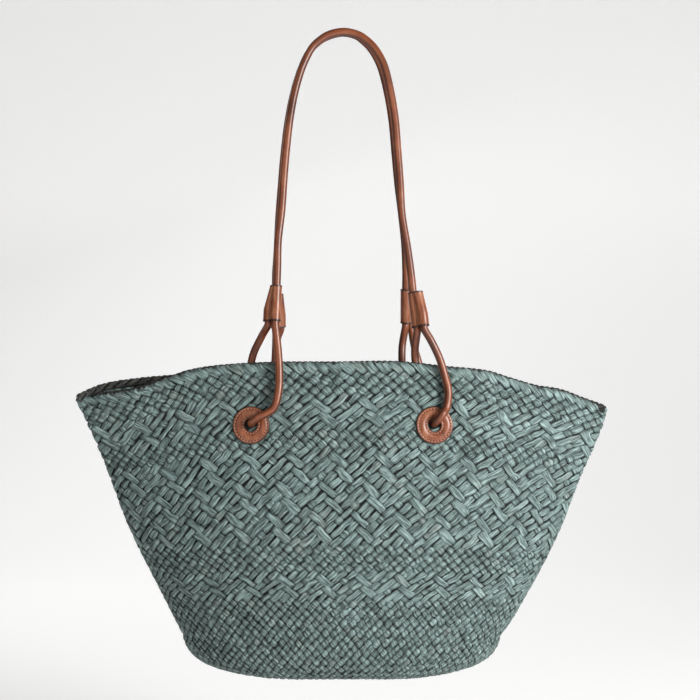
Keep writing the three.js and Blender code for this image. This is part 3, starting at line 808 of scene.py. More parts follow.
class BAG_OT_fill_weave(bpy.types.Operator):
    """Lay a thin sheet in the middle of the weave, where it closes the gaps between the strands and shows in
    them as painted shade, nearly black
    """

    bl_idname = "bag.fill_weave"
    bl_label = "Fill the Weave"

    TOP_ROW = 0.7  # the row below the rim where it starts
    ROW_RINGS = 28  # rings from there to the end of the turned edge
    COLUMNS = 138
    BASE_RINGS = (0.8, 0.6, 0.4, 0.2, 0.08)  # shares of the way out from the base's middle
    THICKNESS = 0.0003
    HOLE = 0.005  # radius of the holes for the handles
    HOLE_SIDES = 24
    CUTTER_LENGTH = 0.03

    def execute(self, context):
        size = context.scene.straw_basket
        weave = context.scene.straw_weave
        leather = context.scene.bag_leather
        surface = WovenSurface(size, weave)
        turn = np.arange(self.COLUMNS) / self.COLUMNS
        rings = []
        for row in np.linspace(self.TOP_ROW, surface.rows, self.ROW_RINGS):
            rings.append(surface.at(turn, np.full(self.COLUMNS, row)))
        edge = rings[-1][0]
        middle = edge.mean(axis=0)
        for out in self.BASE_RINGS:
            point = middle + (edge - middle) * out
            point[:, 2] = base_weave_height(size, weave, point[:, 0])
            rings.append((point, DOWNWARD))
        outside = [point + aim * self.THICKNESS / 2 for point, aim in rings]
        inside = [point - aim * self.THICKNESS / 2 for point, aim in rings]
        points = np.array([*outside, *reversed(inside)])
        around = np.arange(self.COLUMNS)
        following = (around + 1) % self.COLUMNS
        faces = []
        half = len(rings)
        # the two sheets join at the top, and at the base's middle each has its own cap
        for ring in [*range(half - 1), *range(half, 2 * half)]:
            lower = (ring + 1) % (2 * half) * self.COLUMNS
            upper = ring * self.COLUMNS
            strip = [upper + around, lower + around, lower + following, upper + following]
            faces += np.stack(strip, -1).tolist()
        faces.append([(half - 1) * self.COLUMNS + k for k in reversed(around.tolist())])
        faces.append([half * self.COLUMNS + k for k in around.tolist()])
        whole_sheet = np.ones(points.shape[:2])
        # crest -1 and edge 1 give the sheet the straw's fullest painted shade, nearly black
        core = new_mesh("straw_core", points, faces, crest=-whole_sheet, edge=whole_sheet)
        for eyelet in all_eyelets(size, leather):
            self.cut_hole(core, eyelet)
        finish_piece(core, straw_material(weave), "straw", "basket")
        return {"FINISHED"}

    def cut_hole(self, core, eyelet):
        bpy.ops.object.select_all(action="DESELECT")
        bpy.ops.mesh.primitive_cylinder_add(
            vertices=self.HOLE_SIDES, radius=self.HOLE, depth=self.CUTTER_LENGTH
        )
        cutter = bpy.context.object
        cutter.data.transform(Matrix.Translation(eyelet.up * eyelet.bearing) @ eyelet.matrix)
        bpy.ops.object.select_all(action="DESELECT")
        bpy.context.view_layer.objects.active = core
        core.select_set(True)
        hole = core.modifiers.new("hole", "BOOLEAN")
        hole.object = cutter
        hole.operation = "DIFFERENCE"
        bpy.ops.object.modifier_apply(modifier="hole")
        core.select_set(False)
        bpy.data.objects.remove(cutter)


class BAG_OT_plait_rim(bpy.types.Operator):
    """Plait the rope that finishes the rim inside"""

    bl_idname = "bag.plait_rim"
    bl_label = "Plait the Rim"

    ROPE_STRANDS = 3
    PITCH = 0.034  # length of rim for each twist
    TWIST_RINGS = 18  # rings of the strands in each twist
    INSET = 0.0062  # from the wall's middle in to the rope's
    DROP = -0.0012  # from the wall's highest row down to the rope's middle, which lies above it
    REACH_IN = 0.0012  # how far the strands swing in and out
    REACH_UP = 0.0027  # how far they swing up and down
    STRAND_WIDTH = 0.0046
    STRAND_THICKNESS = 0.0026
    TONE_SPREAD = 0.7  # from twist to twist

    def execute(self, context):
        size = context.scene.straw_basket
        weave = context.scene.straw_weave
        surface = WovenSurface(size, weave)
        samples = surface.around
        turn = np.arange(samples) / samples
        point, aim = surface.at(turn, np.zeros(samples))
        down = unit(surface.at(turn, np.ones(samples))[0] - point)
        twists = round(walked(point)[-1] / self.PITCH)
        count = twists * self.TWIST_RINGS
        turn = np.arange(count) / count
        lap = np.arange(samples + 1) / samples
        point, aim, down = (read_off(np.vstack([v, v[:1]]), lap, turn) for v in (point, aim, down))
        middle = point - aim * self.INSET + down * self.DROP
        pieces = []
        rng = np.random.default_rng(weave.seed)
        for strand in range(self.ROPE_STRANDS):
            phase = TURN * (turn * twists + strand / self.ROPE_STRANDS)
            cosine = np.cos(phase)[:, None]
            sine = np.sin(phase)[:, None]
            path = middle - aim * (cosine * self.REACH_IN) + down * (sine * self.REACH_UP)
            out = unit(-aim * cosine * self.REACH_UP + down * sine * self.REACH_IN)
            tone = np.repeat(rng.normal(0, self.TONE_SPREAD, twists), self.TWIST_RINGS)
            placed = placed_section(
                path,
                np.roll(path, -1, axis=0) - np.roll(path, 1, axis=0),
                out,
                self.STRAND_WIDTH,
                self.STRAND_THICKNESS,
            )
            pieces.append(closed_strand(f"rope_{strand}", path, placed, tone))
        rope = join_pieces(pieces, "rim_rope")
        finish_piece(rope, straw_material(weave, rope=True), "dark_straw", "rim_braid")
        return {"FINISHED"}


def closed_strand(name, path, placed, tone):
    """A strand that runs all the way round and meets its own start."""
    count, corners = placed.shape[:2]
    quads, _caps, (_tube, ring_uv, corner_uv) = tube_faces(1, count + 1, corners)
    covered = np.arange(count + 1) * np.linalg.norm(path[1] - path[0])
    return new_mesh(
        name,
        placed,
        (quads % (count * corners)).tolist(),
        uv=np.stack([covered[ring_uv], corner_uv / corners], -1),
        tone=np.repeat(tone[:, None], corners, axis=1),
        # the whole rope counts as a crest: it gets the crests' painted highlight and no painted shade of
        # dives
        crest=np.ones((count, corners)),
        edge=np.broadcast_to(SECTION_EDGE, (count, corners)),
    )


def join_pieces(pieces, name):
    """Joins objects into one mesh under a new name."""
    bpy.ops.object.select_all(action="DESELECT")
    for piece in pieces:
        piece.select_set(True)
    bpy.context.view_layer.objects.active = pieces[0]
    if len(pieces) > 1:
        bpy.ops.object.join()
    joined = bpy.context.view_layer.objects.active
    joined.name = name
    joined.data.name = name
    joined.select_set(False)
    return joined


def finish_piece(piece, material, slot, *nodes):
    """Gives a piece its material and its body, and hides the nodes that it stands for. The slot is not used.
    """
    piece.data.materials.clear()
    piece.data.materials.append(material)
    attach(piece, BODY)
    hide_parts(*nodes)


class Nodes:
    """Short ways to add and link a material's nodes."""

    def __init__(self, name):
        self.material = bpy.data.materials.new(name)
        self.material.use_nodes = True
        self.tree = self.material.node_tree
        self.shader = self.tree.nodes["Principled BSDF"]

    def put(self, node, key, value):
        if isinstance(value, bpy.types.NodeSocket):
            self.tree.links.new(value, node.inputs[key])
        else:
            node.inputs[key].default_value = value

    def add(self, kind, output, inputs, **settings):
        """A new node's output. The inputs are numbers, colours or other nodes' outputs."""
        node = self.tree.nodes.new(f"ShaderNode{kind}")
        for key, value in settings.items():
            setattr(node, key, value)
        for key, value in inputs.items():
            self.put(node, key, value)
        return node.outputs[output]

    def surface(self, **inputs):
        """Sets the shader's own inputs."""
        for key, value in inputs.items():
            self.put(self.shader, key.replace("_", " "), value)

    def attribute(self, name):
        return self.add("Attribute", "Fac", {}, attribute_name=name)

    def coordinates(self, output):
        return self.add("TexCoord", output, {})

    def math(self, operation, first, second=0.0, clamp=False):
        return self.add("Math", 0, {0: first, 1: second}, operation=operation, use_clamp=clamp)

    def total(self, start, *terms):
        """A start and the terms, each times its weight."""
        for value, weight in terms:
            start = self.math("ADD", self.math("MULTIPLY", value, weight), start)
        return start

    def noise(self, vector, scale, detail=2.0, roughness=0.5):
        inputs = {"Vector": vector, "Scale": scale, "Detail": detail, "Roughness": roughness}
        return self.add("TexNoise", "Fac", inputs)

    def scaled(self, vector, scale):
        return self.add("Mapping", "Vector", {"Vector": vector, "Scale": scale})

    def ramp(self, factor, stops):
        node = self.tree.nodes.new("ShaderNodeValToRGB")
        ramp = node.color_ramp
        while len(ramp.elements) < len(stops):
            ramp.elements.new(0.5)
        for element, (place, shade) in zip(ramp.elements, stops):
            element.position = place
            element.color = (*shade, 1)
        self.put(node, "Fac", factor)
        return node.outputs["Color"]

    def mix(self, factor, first, second):
        """From the first colour, which is another node's, to the second."""
        return self.add("Mix", 2, {0: factor, 6: first, 7: (*second, 1)}, data_type="RGBA")

    def bump(self, height, strength, distance, **normal):
        inputs = {"Strength": strength, "Distance": distance, "Height": height}
        return self.add("Bump", "Normal", {**inputs, **normal})


def straw_material(weave, rope=False):
    """Dyed palm straw: fibres along each strand and some strands browner, with painted shade in the folds, at
    the strands' edges and where they dive, and a painted highlight on the crests.
    """
    n = Nodes("dark_straw" if rope else "straw")
    uv = n.coordinates("UV")
    streaks = n.noise(n.scaled(uv, (70.0, 9.0, 1.0)), 1.0, 3.0, 0.65)
    fine = n.noise(n.scaled(uv, (160.0, 32.0, 1.0)), 1.0, 2.0, 0.6)
    folds = n.noise(n.scaled(uv, (30.0, 10.0, 1.0)), 1.0, 2.0, 0.5)
    patches = n.noise(n.coordinates("Object"), 14.0, 2.0)
    tone = n.attribute("tone")
    crest = n.attribute("crest")
    edge = n.attribute("edge")
    # the crest term paints a highlight on the strands' crests and shade where they dive under others
    lightness = n.total(-0.42, (tone, 0.06), (crest, 0.1), (streaks, 1.25), (fine, 0.7))
    # a fold is a thin dark line of painted shade along the strand, where the folds' noise passes its middle;
    # the same line also bumps the surface
    line = n.math("MULTIPLY", n.math("ABSOLUTE", n.math("SUBTRACT", folds, 0.5)), 15.0, clamp=True)
    # painted shade: darker where a strand dives, towards its edges and along the folds
    dive_shade = n.math("MULTIPLY", n.math("ADD", crest, 0.55), 0.75, clamp=True)
    edge_shade = n.total(1.0, (n.math("POWER", edge, 2.0), -0.95))
    open_to_light = n.math("MULTIPLY", n.total(0.25, (dive_shade, 0.75)), edge_shade)
    shaded = n.math("MULTIPLY", open_to_light, n.total(0.25, (line, 0.75)))
    if rope:
        ends = ((0.012, 0.012, 0.011), (0.13, 0.125, 0.11))
        shade = n.ramp(lightness, [(0.1, ends[0]), (0.6, weave.rope), (1.0, ends[1])])
    else:
        shade = n.ramp(lightness, [(0.1, weave.dark), (0.48, weave.middle), (0.95, weave.light)])
        browner = n.math("MULTIPLY", n.math("GREATER_THAN", n.math("ADD", tone, patches), 1.55), 0.3)
        shade = n.mix(browner, shade, weave.brown)
    # the painted shade takes the colour towards near black
    shade = n.mix(n.math("SUBTRACT", 1.0, shaded), shade, (0.004, 0.006, 0.006))
    relief = n.total(0.0, (streaks, 0.7), (fine, 0.3), (line, 0.35))
    n.surface(Base_Color=shade, Roughness=0.62, Specular_IOR_Level=0.35, Normal=n.bump(relief, 0.9, 0.0012))
    return n.material


def basis(across, second, third, place):
    """A matrix from three directions and a place."""
    turned = Matrix((across, second, third)).transposed().to_4x4()
    turned.translation = place
    return turned


class Eyelet:
    """An eyelet's place: its own +Z faces out of the wall and its own +Y runs up the wall."""

    def __init__(self, size, leather, side, hand):
        self.side = side
        self.hand = hand
        self.name = f"{'front' if side < 0 else 'back'}_{'left' if hand < 0 else 'right'}"
        x = hand * leather.eyelet_spacing / 2
        self.point, self.normal = wall_at(size, side, x, size.rim_top - leather.eyelet_drop)
        across = Vector((0, 0, 1)).cross(self.normal).normalized()
        self.up = self.normal.cross(across)
        self.matrix = basis(across, self.up, self.normal, self.point)
        # from the hole's middle up to the middle of the cord, which bears on the hole's top
        self.bearing = (leather.eyelet_hole - leather.cord_diameter) / 2


class Keeper:
    """A keeper's place: its own +Z runs up the main cord, and its own +X from there to the cord's end."""

    def __init__(self, size, leather, row):
        self.name = row["name"]
        self.side = row["side"]
        self.end_outer = row["end_outer"]
        self.taper = row["taper"]
        self.pitch = leather.cord_diameter + CORD_FIT
        z = size.rim_top + leather.keeper_rise + leather.keeper_length * (0.5 + row["raise"])
        main_x = row["x"] * leather.eyelet_spacing / 2
        y = wall_at(size, self.side, main_x, size.rim_top)[0].y - self.side * size.wall * 0.5
        drop = -size.rim_top - leather.keeper_rise - leather.keeper_length
        slope = math.atan2(y - self.side * leather.cord_diameter / 2, drop)
        lean = math.radians(row["lean"])
        turn = math.radians(row["turn"])
        up = Vector((-math.tan(lean), -math.tan(slope), 1)).normalized()
        away = self.side * (1 if self.end_outer else -1)
        across = Vector((row["end"] * math.cos(turn), away * math.sin(turn), 0))
        across = (across - up * across.dot(up)).normalized()
        place = Vector((main_x + across.x * self.pitch / 2, y, z))
        self.matrix = basis(across, up.cross(across), up, place)


def leg_points(size, leather, keeper, eyelet, outer):
    """The leg from a keeper down to its eyelet, outside or inside the wall, then the bend into the hole."""
    x = (1 if outer == keeper.end_outer else -1) * keeper.pitch / 2
    foot = keeper.matrix @ Vector((x, 0, -leather.keeper_length / 2 - KEEPER_LEAD))
    hole = eyelet.point + eyelet.up * (eyelet.bearing - 2 * GAP)
    face = 1 if outer else -1
    over_eyelet = GAP + leather.eyelet_edge + leather.eyelet_crown
    points = []
    for down, reach, off, over in LEGS[f"{keeper.name}_{'outer' if outer else 'inner'}"]:
        px = hole.x + (foot.x - hole.x) * reach
        pz = foot.z + (hole.z - foot.z) * down
        point, normal = wall_at(size, keeper.side, px, pz)
        stand = off * leather.cord_diameter + (over * over_eyelet if outer else size.wall)
        points.append(Vector((px, (point + normal * face * stand).y, pz)))
    pull = points[-1] - hole
    in_plane = (pull - eyelet.normal * pull.dot(eyelet.normal)).normalized()
    radius = THREADING_BEND * leather.cord_diameter
    wall_face = 0 if outer else -size.wall
    for bend in THREADING_STEPS:
        angle = math.radians(bend)
        rise = wall_face + face * radius * math.sin(angle)
        points.append(hole + in_plane * radius * (1 - math.cos(angle)) + eyelet.normal * rise)
    return foot, points


def loop_points(size, leather, keeper, eyelet):
    """A keeper's loop: from the cord's end down one leg, through the eyelet and up the other leg."""
    half = keeper.pitch / 2

    def in_keeper(x, height):
        return keeper.matrix @ Vector((x, 0, leather.keeper_length * (height - 0.5)))
    end_foot, end_leg = leg_points(size, leather, keeper, eyelet, keeper.end_outer)
    main_foot, main_leg = leg_points(size, leather, keeper, eyelet, not keeper.end_outer)
    start = [in_keeper(half, CORD_END), in_keeper(half, CORD_END / 2), in_keeper(half, 0), end_foot]
    finish = [main_foot, in_keeper(-half, 0), in_keeper(-half, 0.5), in_keeper(-half, 1)]
    return [*start, *end_leg, *reversed(main_leg), *finish]


def handle_route(size, leather, side, keepers, eyelets):
    """One handle: a single cord from its end in the left keeper to its end in the right one. Gives the points
    and the number of the one at the top."""
    name = "front" if side < 0 else "back"
    left = loop_points(size, leather, keepers[f"{name}_left"], eyelets[f"{name}_left"])
    right = loop_points(size, leather, keepers[f"{name}_right"], eyelets[f"{name}_right"])
    radius = leather.cord_diameter / 2
    # the two handles lie side by side on the hook, as the flat-sided solids do
    apex = Vector((0, side * (radius * math.cos(math.pi / SOLID_SIDES) + GAP / 2), radius))
    arch = {}
    for hand, top in (("left", left[-1]), ("right", right[-1])):
        column = ARCH_COLUMNS[f"{name}_{hand}"]
        arch[hand] = []
        for row in ARCH[1:]:
            place = apex.lerp(top, row[0])
            place.x = apex.x + (top.x - apex.x) * row[column]
            arch[hand].append(place)
    rising = [*left, *reversed(arch["left"])]
    return [*rising, apex, *arch["right"], *reversed(right)], len(rising)


def smooth_route(points, step):
    """A centripetal curve through points, as places a step apart."""
    p = np.array([tuple(point) for point in points])
    p = np.vstack([2 * p[0] - p[1], p, 2 * p[-1] - p[-2]])
    t = np.linspace(0, 1, CURVE_STEPS, endpoint=False)[:, None]
    pieces = []
    for before, start, end, after in zip(p, p[1:], p[2:], p[3:]):
        d0, d1, d2 = (np.linalg.norm(b - a) ** 0.5 for a, b in ((before, start), (start, end), (end, after)))
        leave = ((start - before) / d0 - (end - before) / (d0 + d1) + (end - start) / d1) * d1
        arrive = ((end - start) / d1 - (after - start) / (d1 + d2) + (after - end) / d2) * d1
        pieces.append(hermite(start, leave, end, arrive, t))
    dense = np.vstack([*pieces, p[-2]])
    covered = walked(dense)
    return read_off(dense, covered, np.linspace(0, covered[-1], round(covered[-1] / step) + 1))


def carried_along(path, start, direction):
    """A direction square to a path, carried from one of its places both ways without twisting."""
    run = unit(np.gradient(path, axis=0))
    carried = np.zeros_like(path)
    for way in (1, -1):
        current = np.array(direction, float)
        place = start
        while 0 <= place < len(path):
            current = current - run[place] * current.dot(run[place])
            current /= np.linalg.norm(current)
            carried[place] = current
            place += way
    return run, carried


class BAG_OT_sew_handles(bpy.types.Operator):
    """Roll the two leather handles round their cords and sew their seams"""

    bl_idname = "bag.sew_handles"
    bl_label = "Sew the Handles"

    SIDES = 20
    STEP = 0.0016  # between the rings of a cord
    SEAM_DEPTH = 0.00045
    SEAM_LIP = 0.00012
    SEAM_TURN = 28  # degrees from the inside of the loop towards the front
    STITCH = 0.0034  # from one stitch to the next
    STITCH_SIZE = (0.0017, 0.0008)  # length and width
    STITCH_SUNK = 0.35  # share of the seam's depth at which the stitches lie
    UNSEWN = 4  # rings at each end with no stitches
    ROUNDED = (0.35, 0.7, 0.9)  # shares of the radius at a cord's ends
    SKIN = 0.0001  # how much thinner the leather is than the solid, so that the handles just touch

    def execute(self, context):
        size = context.scene.straw_basket
        leather = context.scene.bag_leather
        eyelets = {e.name: e for e in all_eyelets(size, leather)}
        keepers = {row["name"]: Keeper(size, leather, row) for row in KEEPERS}
        material = leather_material(leather, "handle_leather", rolled=True)
        stitch = stitch_pattern(*self.STITCH_SIZE)
        for side, name in ((-1, "handle_front"), (1, "handle_back")):
            points, top = handle_route(size, leather, side, keepers, eyelets)
            path = smooth_route(points, self.STEP)
            start = int(np.argmin(np.linalg.norm(path - np.array(points[top]), axis=1)))
            turn = math.radians(self.SEAM_TURN)
            run, seam = carried_along(path, start, (0, -math.sin(turn), -math.cos(turn)))
            cord = self.rolled_cord(leather, path, run, seam)
            stitches = self.seam_stitches(leather, path, run, seam, stitch)
            handle = join_pieces([cord, stitches], f"rolled_{name}")
            finish_piece(handle, material, "leather", name)
        bpy.data.objects.remove(stitch)
        return {"FINISHED"}

    def rolled_cord(self, leather, path, run, seam):
        radius = leather.cord_diameter / 2 - self.SKIN
        angle = -TURN * np.arange(self.SIDES) / self.SIDES
        grooved = np.full(self.SIDES, radius)
        grooved[0] -= self.SEAM_DEPTH
        grooved[[1, -1]] += self.SEAM_LIP
        thickness = np.ones(len(path))
        for end, share in enumerate(self.ROUNDED):
            thickness[end] = share
            thickness[-1 - end] = share
        side = np.cross(run, seam)
        reach = thickness[:, None] * grooved
        placed = (
            path[:, None]
            + seam[:, None] * (reach * np.cos(angle))[..., None]
            + side[:, None] * (reach * np.sin(angle))[..., None]
        )
        quads, caps, (_tube, ring_uv, corner_uv) = tube_faces(1, len(path), self.SIDES)
        uv = np.stack([ring_uv * self.STEP, corner_uv / self.SIDES], -1).reshape(-1, 2)
        uv = np.concatenate([uv, np.zeros((2 * self.SIDES, 2))])
        groove = np.zeros(self.SIDES)
        groove[0] = 1
        painted = np.broadcast_to(groove, placed.shape[:2])
        return new_mesh("cord", placed, quads.tolist() + caps, uv=uv, painted=painted)

    def seam_stitches(self, leather, path, run, seam, stitch):
        every = self.STITCH / self.STEP
        places = np.round(np.arange(self.UNSEWN, len(path) - self.UNSEWN, every)).astype(int)
        radius = leather.cord_diameter / 2 - self.SKIN - self.SEAM_DEPTH * self.STITCH_SUNK
        matrices = []
        for place in places:
            out = Vector(seam[place])
            forward = Vector(run[place])
            matrices.append(basis(forward.cross(out), forward, out, Vector(path[place]) + out * radius))
        return copies("seam_stitches", stitch, matrices)


def stitch_pattern(length_across, width):
    """One stitch, along its own X, to be copied."""
    bpy.ops.object.select_all(action="DESELECT")
    bpy.ops.mesh.primitive_uv_sphere_add(segments=8, ring_count=5, radius=width / 2)
    stitch = bpy.context.object
    bpy.ops.object.mode_set(mode="EDIT")
    bpy.ops.mesh.select_all(action="SELECT")
    bpy.ops.transform.resize(value=(length_across / width, 1, 0.8))
    bpy.ops.object.mode_set(mode="OBJECT")
    bpy.ops.object.select_all(action="DESELECT")
    return stitch


def copies(name, pattern, matrices):
    """Copies of a pattern's mesh as one mesh of thread."""
    points = np.array([tuple(v.co) for v in pattern.data.vertices])
    faces = [list(face.vertices) for face in pattern.data.polygons]
    placed = np.concatenate([points @ np.array(m.to_3x3()).T + np.array(m.translation) for m in matrices])
    moved = [[v + len(points) * k for v in face] for k in range(len(matrices)) for face in faces]
    return new_mesh(name, placed, moved, thread=np.ones(len(placed)))


def all_eyelets(size, leather):
    """The eyelets of the front and then of the back."""
    return [Eyelet(size, leather, side, hand) for side in (-1, 1) for hand in (-1, 1)]


class BAG_OT_set_eyelets(bpy.types.Operator):
    """Cut the leather eyelets, paint their edges and sew them to the wall"""

    bl_idname = "bag.set_eyelets"
    bl_label = "Set the Eyelets"

    SEGMENTS = 72
    # The section of the ring: share of the way from the hole out, and share of the full thickness
    SECTION = (
        (1.0, 0.0),
        (1.0, 0.42),
        (0.985, 0.56),
        (0.95, 0.64),
        (0.9, 0.7),
        (0.85, 0.74),
        (0.815, 0.7),
        (0.785, 0.6),
        (0.755, 0.7),
        (0.71, 0.85),
        (0.6, 0.97),
        (0.46, 1.0),
        (0.34, 0.93),
        (0.25, 0.8),
        (0.21, 0.7),
        (0.18, 0.6),
        (0.15, 0.7),
        (0.1, 0.72),
        (0.045, 0.66),
        (0.01, 0.5),
        (0.0, 0.3),
        (0.0, 0.0),
    )
    # Each ring of stitches: its share of the way out, and its number of stitches
    SEWN = ((0.785, 32), (0.18, 18))
    SEWN_HEIGHT = 0.66  # share of the full thickness at which the stitches lie
    SEWN_LENGTH = 0.62  # share of their spacing that the stitches fill
    SEWN_WIDTH = 0.0009
    SEWN_GROOVE = 0.035  # share of the way out that the dark line under them is wide
    SEWN_DARK = 0.95  # how dark that line is
    # How dark the edge paint is at shares of the way out
    PAINT_PLACES = (0, 0.04, 0.08, 0.9, 0.95, 1)
    PAINT = (0.9, 0.6, 0, 0, 1, 1)

    def execute(self, context):
        size = context.scene.straw_basket
        leather = context.scene.bag_leather
        material = leather_material(leather, "eyelet_leather")
        for eyelet in all_eyelets(size, leather):
            pieces = [self.ring(leather), *self.stitches(leather)]
            ring = join_pieces(pieces, f"sewn_eyelet_{eyelet.name}")
            ring.data.transform(eyelet.matrix)
            finish_piece(ring, material, "leather", f"eyelet_{eyelet.name}")
        return {"FINISHED"}

    def place(self, leather, out, up):
        """The radius and height of a place of the section."""
        inner = leather.eyelet_hole / 2
        outer = leather.eyelet_diameter / 2
        return inner + (outer - inner) * out, GAP + (leather.eyelet_edge + leather.eyelet_crown) * up

    def ring(self, leather):
        section = [self.place(leather, out, up) for out, up in self.SECTION]
        bpy.ops.object.select_all(action="DESELECT")
        radius, height = section[0]
        bpy.ops.mesh.primitive_circle_add(vertices=self.SEGMENTS, radius=radius, location=(0, 0, 0))
        ring = bpy.context.object
        bpy.ops.object.mode_set(mode="EDIT")
        bpy.ops.mesh.select_all(action="SELECT")
        bpy.ops.transform.translate(value=(0, 0, height))
        for next_radius, next_height in section[1:]:
            bpy.ops.mesh.extrude_region_move(TRANSFORM_OT_translate={"value": (0, 0, next_height - height)})
            share = next_radius / radius
            bpy.ops.transform.resize(value=(share, share, 1))
            radius, height = next_radius, next_height
        bpy.ops.mesh.select_all(action="DESELECT")
        bpy.ops.mesh.select_mode(type="EDGE")
        bpy.ops.mesh.select_non_manifold()
        bpy.ops.mesh.bridge_edge_loops()
        bpy.ops.mesh.select_all(action="SELECT")
        bpy.ops.mesh.normals_make_consistent(inside=False)
        bpy.ops.object.mode_set(mode="OBJECT")
        bpy.ops.object.shade_smooth_by_angle(angle=math.radians(50))
        outer = leather.eyelet_diameter / 2
        inner = leather.eyelet_hole / 2
        across = (np.array([math.hypot(*v.co[:2]) for v in ring.data.vertices]) - inner) / (outer - inner)
        painted = np.interp(across, self.PAINT_PLACES, self.PAINT)
        for sewn, _count in self.SEWN:
            line = np.exp(-(((across - sewn) / self.SEWN_GROOVE) ** 2))
            painted = np.maximum(painted, self.SEWN_DARK * line)
        set_numbers(ring.data, "painted", painted)
        return ring

    def stitches(self, leather):
        pieces = []
        for out, count in self.SEWN:
            radius, height = self.place(leather, out, self.SEWN_HEIGHT)
            stitch = stitch_pattern(TURN * radius / count * self.SEWN_LENGTH, self.SEWN_WIDTH)
            matrices = []
            for k in range(count):
                turned = Matrix.Rotation(TURN * k / count, 4, "Z")
                matrices.append(turned @ Matrix.Translation((0, radius, height)))
            pieces.append(copies("eyelet_stitches", stitch, matrices))
            bpy.data.objects.remove(stitch)
        return pieces


class BAG_OT_wrap_keepers(bpy.types.Operator):
    """Wrap the leather keepers round the cords and their ends"""

    bl_idname = "bag.wrap_keepers"
    bl_label = "Wrap the Keepers"

    ARC_STEPS = 16  # round each cord
    WAIST_STEPS = 7  # between the cords
    WAIST = 0.0019  # how far the wrap sinks between its cords
    WAIST_WIDTH = 0.0015
    FLARE = 0.0003  # how far the ends stand open
    FLARE_REACH = 0.08  # share of the length over which they do
    ROUNDING = 0.0003  # of the cut edges
    EDGE = 0.0011  # how far the edge paint reaches
    LEVELS = (0, 0.02, 0.06, 0.18, 0.34, 0.5, 0.66, 0.82, 0.94, 0.98, 1)  # shares of the length with a ring

    def execute(self, context):
        size = context.scene.straw_basket
        leather = context.scene.bag_leather
        material = leather_material(leather, "keeper_leather")
        for row in KEEPERS:
            keeper = Keeper(size, leather, row)
            wrap = self.wrap(leather, keeper)
            wrap.name = f"wrapped_keeper_{keeper.name}"
            wrap.data.transform(keeper.matrix)
            finish_piece(wrap, material, "leather", f"keeper_{keeper.name}")
        return {"FINISHED"}

    def outline(self, leather, keeper, share):
        """The wrap's outline at a share of its length."""
        drawn = max(0, (share - CORD_END) / (1 - CORD_END)) * keeper.taper
        main = -keeper.pitch / 2
        other = main + keeper.pitch * (1 - drawn)
        open_end = max(0, 1 - min(share, 1 - share) / self.FLARE_REACH) ** 2
        radius = leather.cord_diameter / 2 + CORD_FIT + leather.keeper_wall + self.FLARE * open_end
        points = []
        for side, start, end in ((1, other, main), (-1, main, other)):
            for k in range(self.ARC_STEPS + 1):
                angle = -math.pi / 2 + math.pi * k / self.ARC_STEPS
                points.append((start + side * radius * math.cos(angle), side * radius * math.sin(angle)))
            for k in range(1, self.WAIST_STEPS + 1):
                x = start + (end - start) * k / (self.WAIST_STEPS + 1)
                from_middle = (x - (main + other) / 2) / self.WAIST_WIDTH
                sunk = self.WAIST * (1 - drawn) * math.exp(-(from_middle**2))
                points.append((x, side * (radius - sunk)))
        return points

    def wrap(self, leather, keeper):
        bpy.ops.object.select_all(action="DESELECT")
        count = 2 * (self.ARC_STEPS + 1 + self.WAIST_STEPS)
        bpy.ops.mesh.primitive_circle_add(vertices=count, radius=keeper.pitch, location=(0, 0, 0))
        wrap = bpy.context.object
        start = 0
        for number, share in enumerate(self.LEVELS):
            if number:
                bpy.ops.object.mode_set(mode="EDIT")
                bpy.ops.mesh.extrude_region_move(TRANSFORM_OT_translate={"value": (0, 0, 0)})
                bpy.ops.object.mode_set(mode="OBJECT")
                start = len(wrap.data.vertices) - count
            z = leather.keeper_length * (share - 0.5)
            for k, (x, y) in enumerate(self.outline(leather, keeper, share)):
                wrap.data.vertices[start + k].co = (x, y, z)
        bpy.ops.object.mode_set(mode="EDIT")
        bpy.ops.mesh.select_all(action="SELECT")
        bpy.ops.mesh.normals_make_consistent(inside=False)
        bpy.ops.object.mode_set(mode="OBJECT")
        wall = wrap.modifiers.new("wall", "SOLIDIFY")
        wall.thickness = leather.keeper_wall
        wall.offset = -1
        edges = wrap.modifiers.new("edges", "BEVEL")
        edges.width = self.ROUNDING
        edges.segments = 2
        edges.limit_method = "ANGLE"
        edges.angle_limit = math.radians(60)
        bpy.ops.object.modifier_apply(modifier="wall")
        bpy.ops.object.modifier_apply(modifier="edges")
        bpy.ops.object.shade_smooth_by_angle(angle=math.radians(50))
        half = leather.keeper_length / 2
        from_end = np.array([half - abs(v.co.z) for v in wrap.data.vertices])
        set_numbers(wrap.data, "painted", np.clip(1.6 - from_end / self.EDGE, 0, 1))
        wrap.select_set(False)
        return wrap


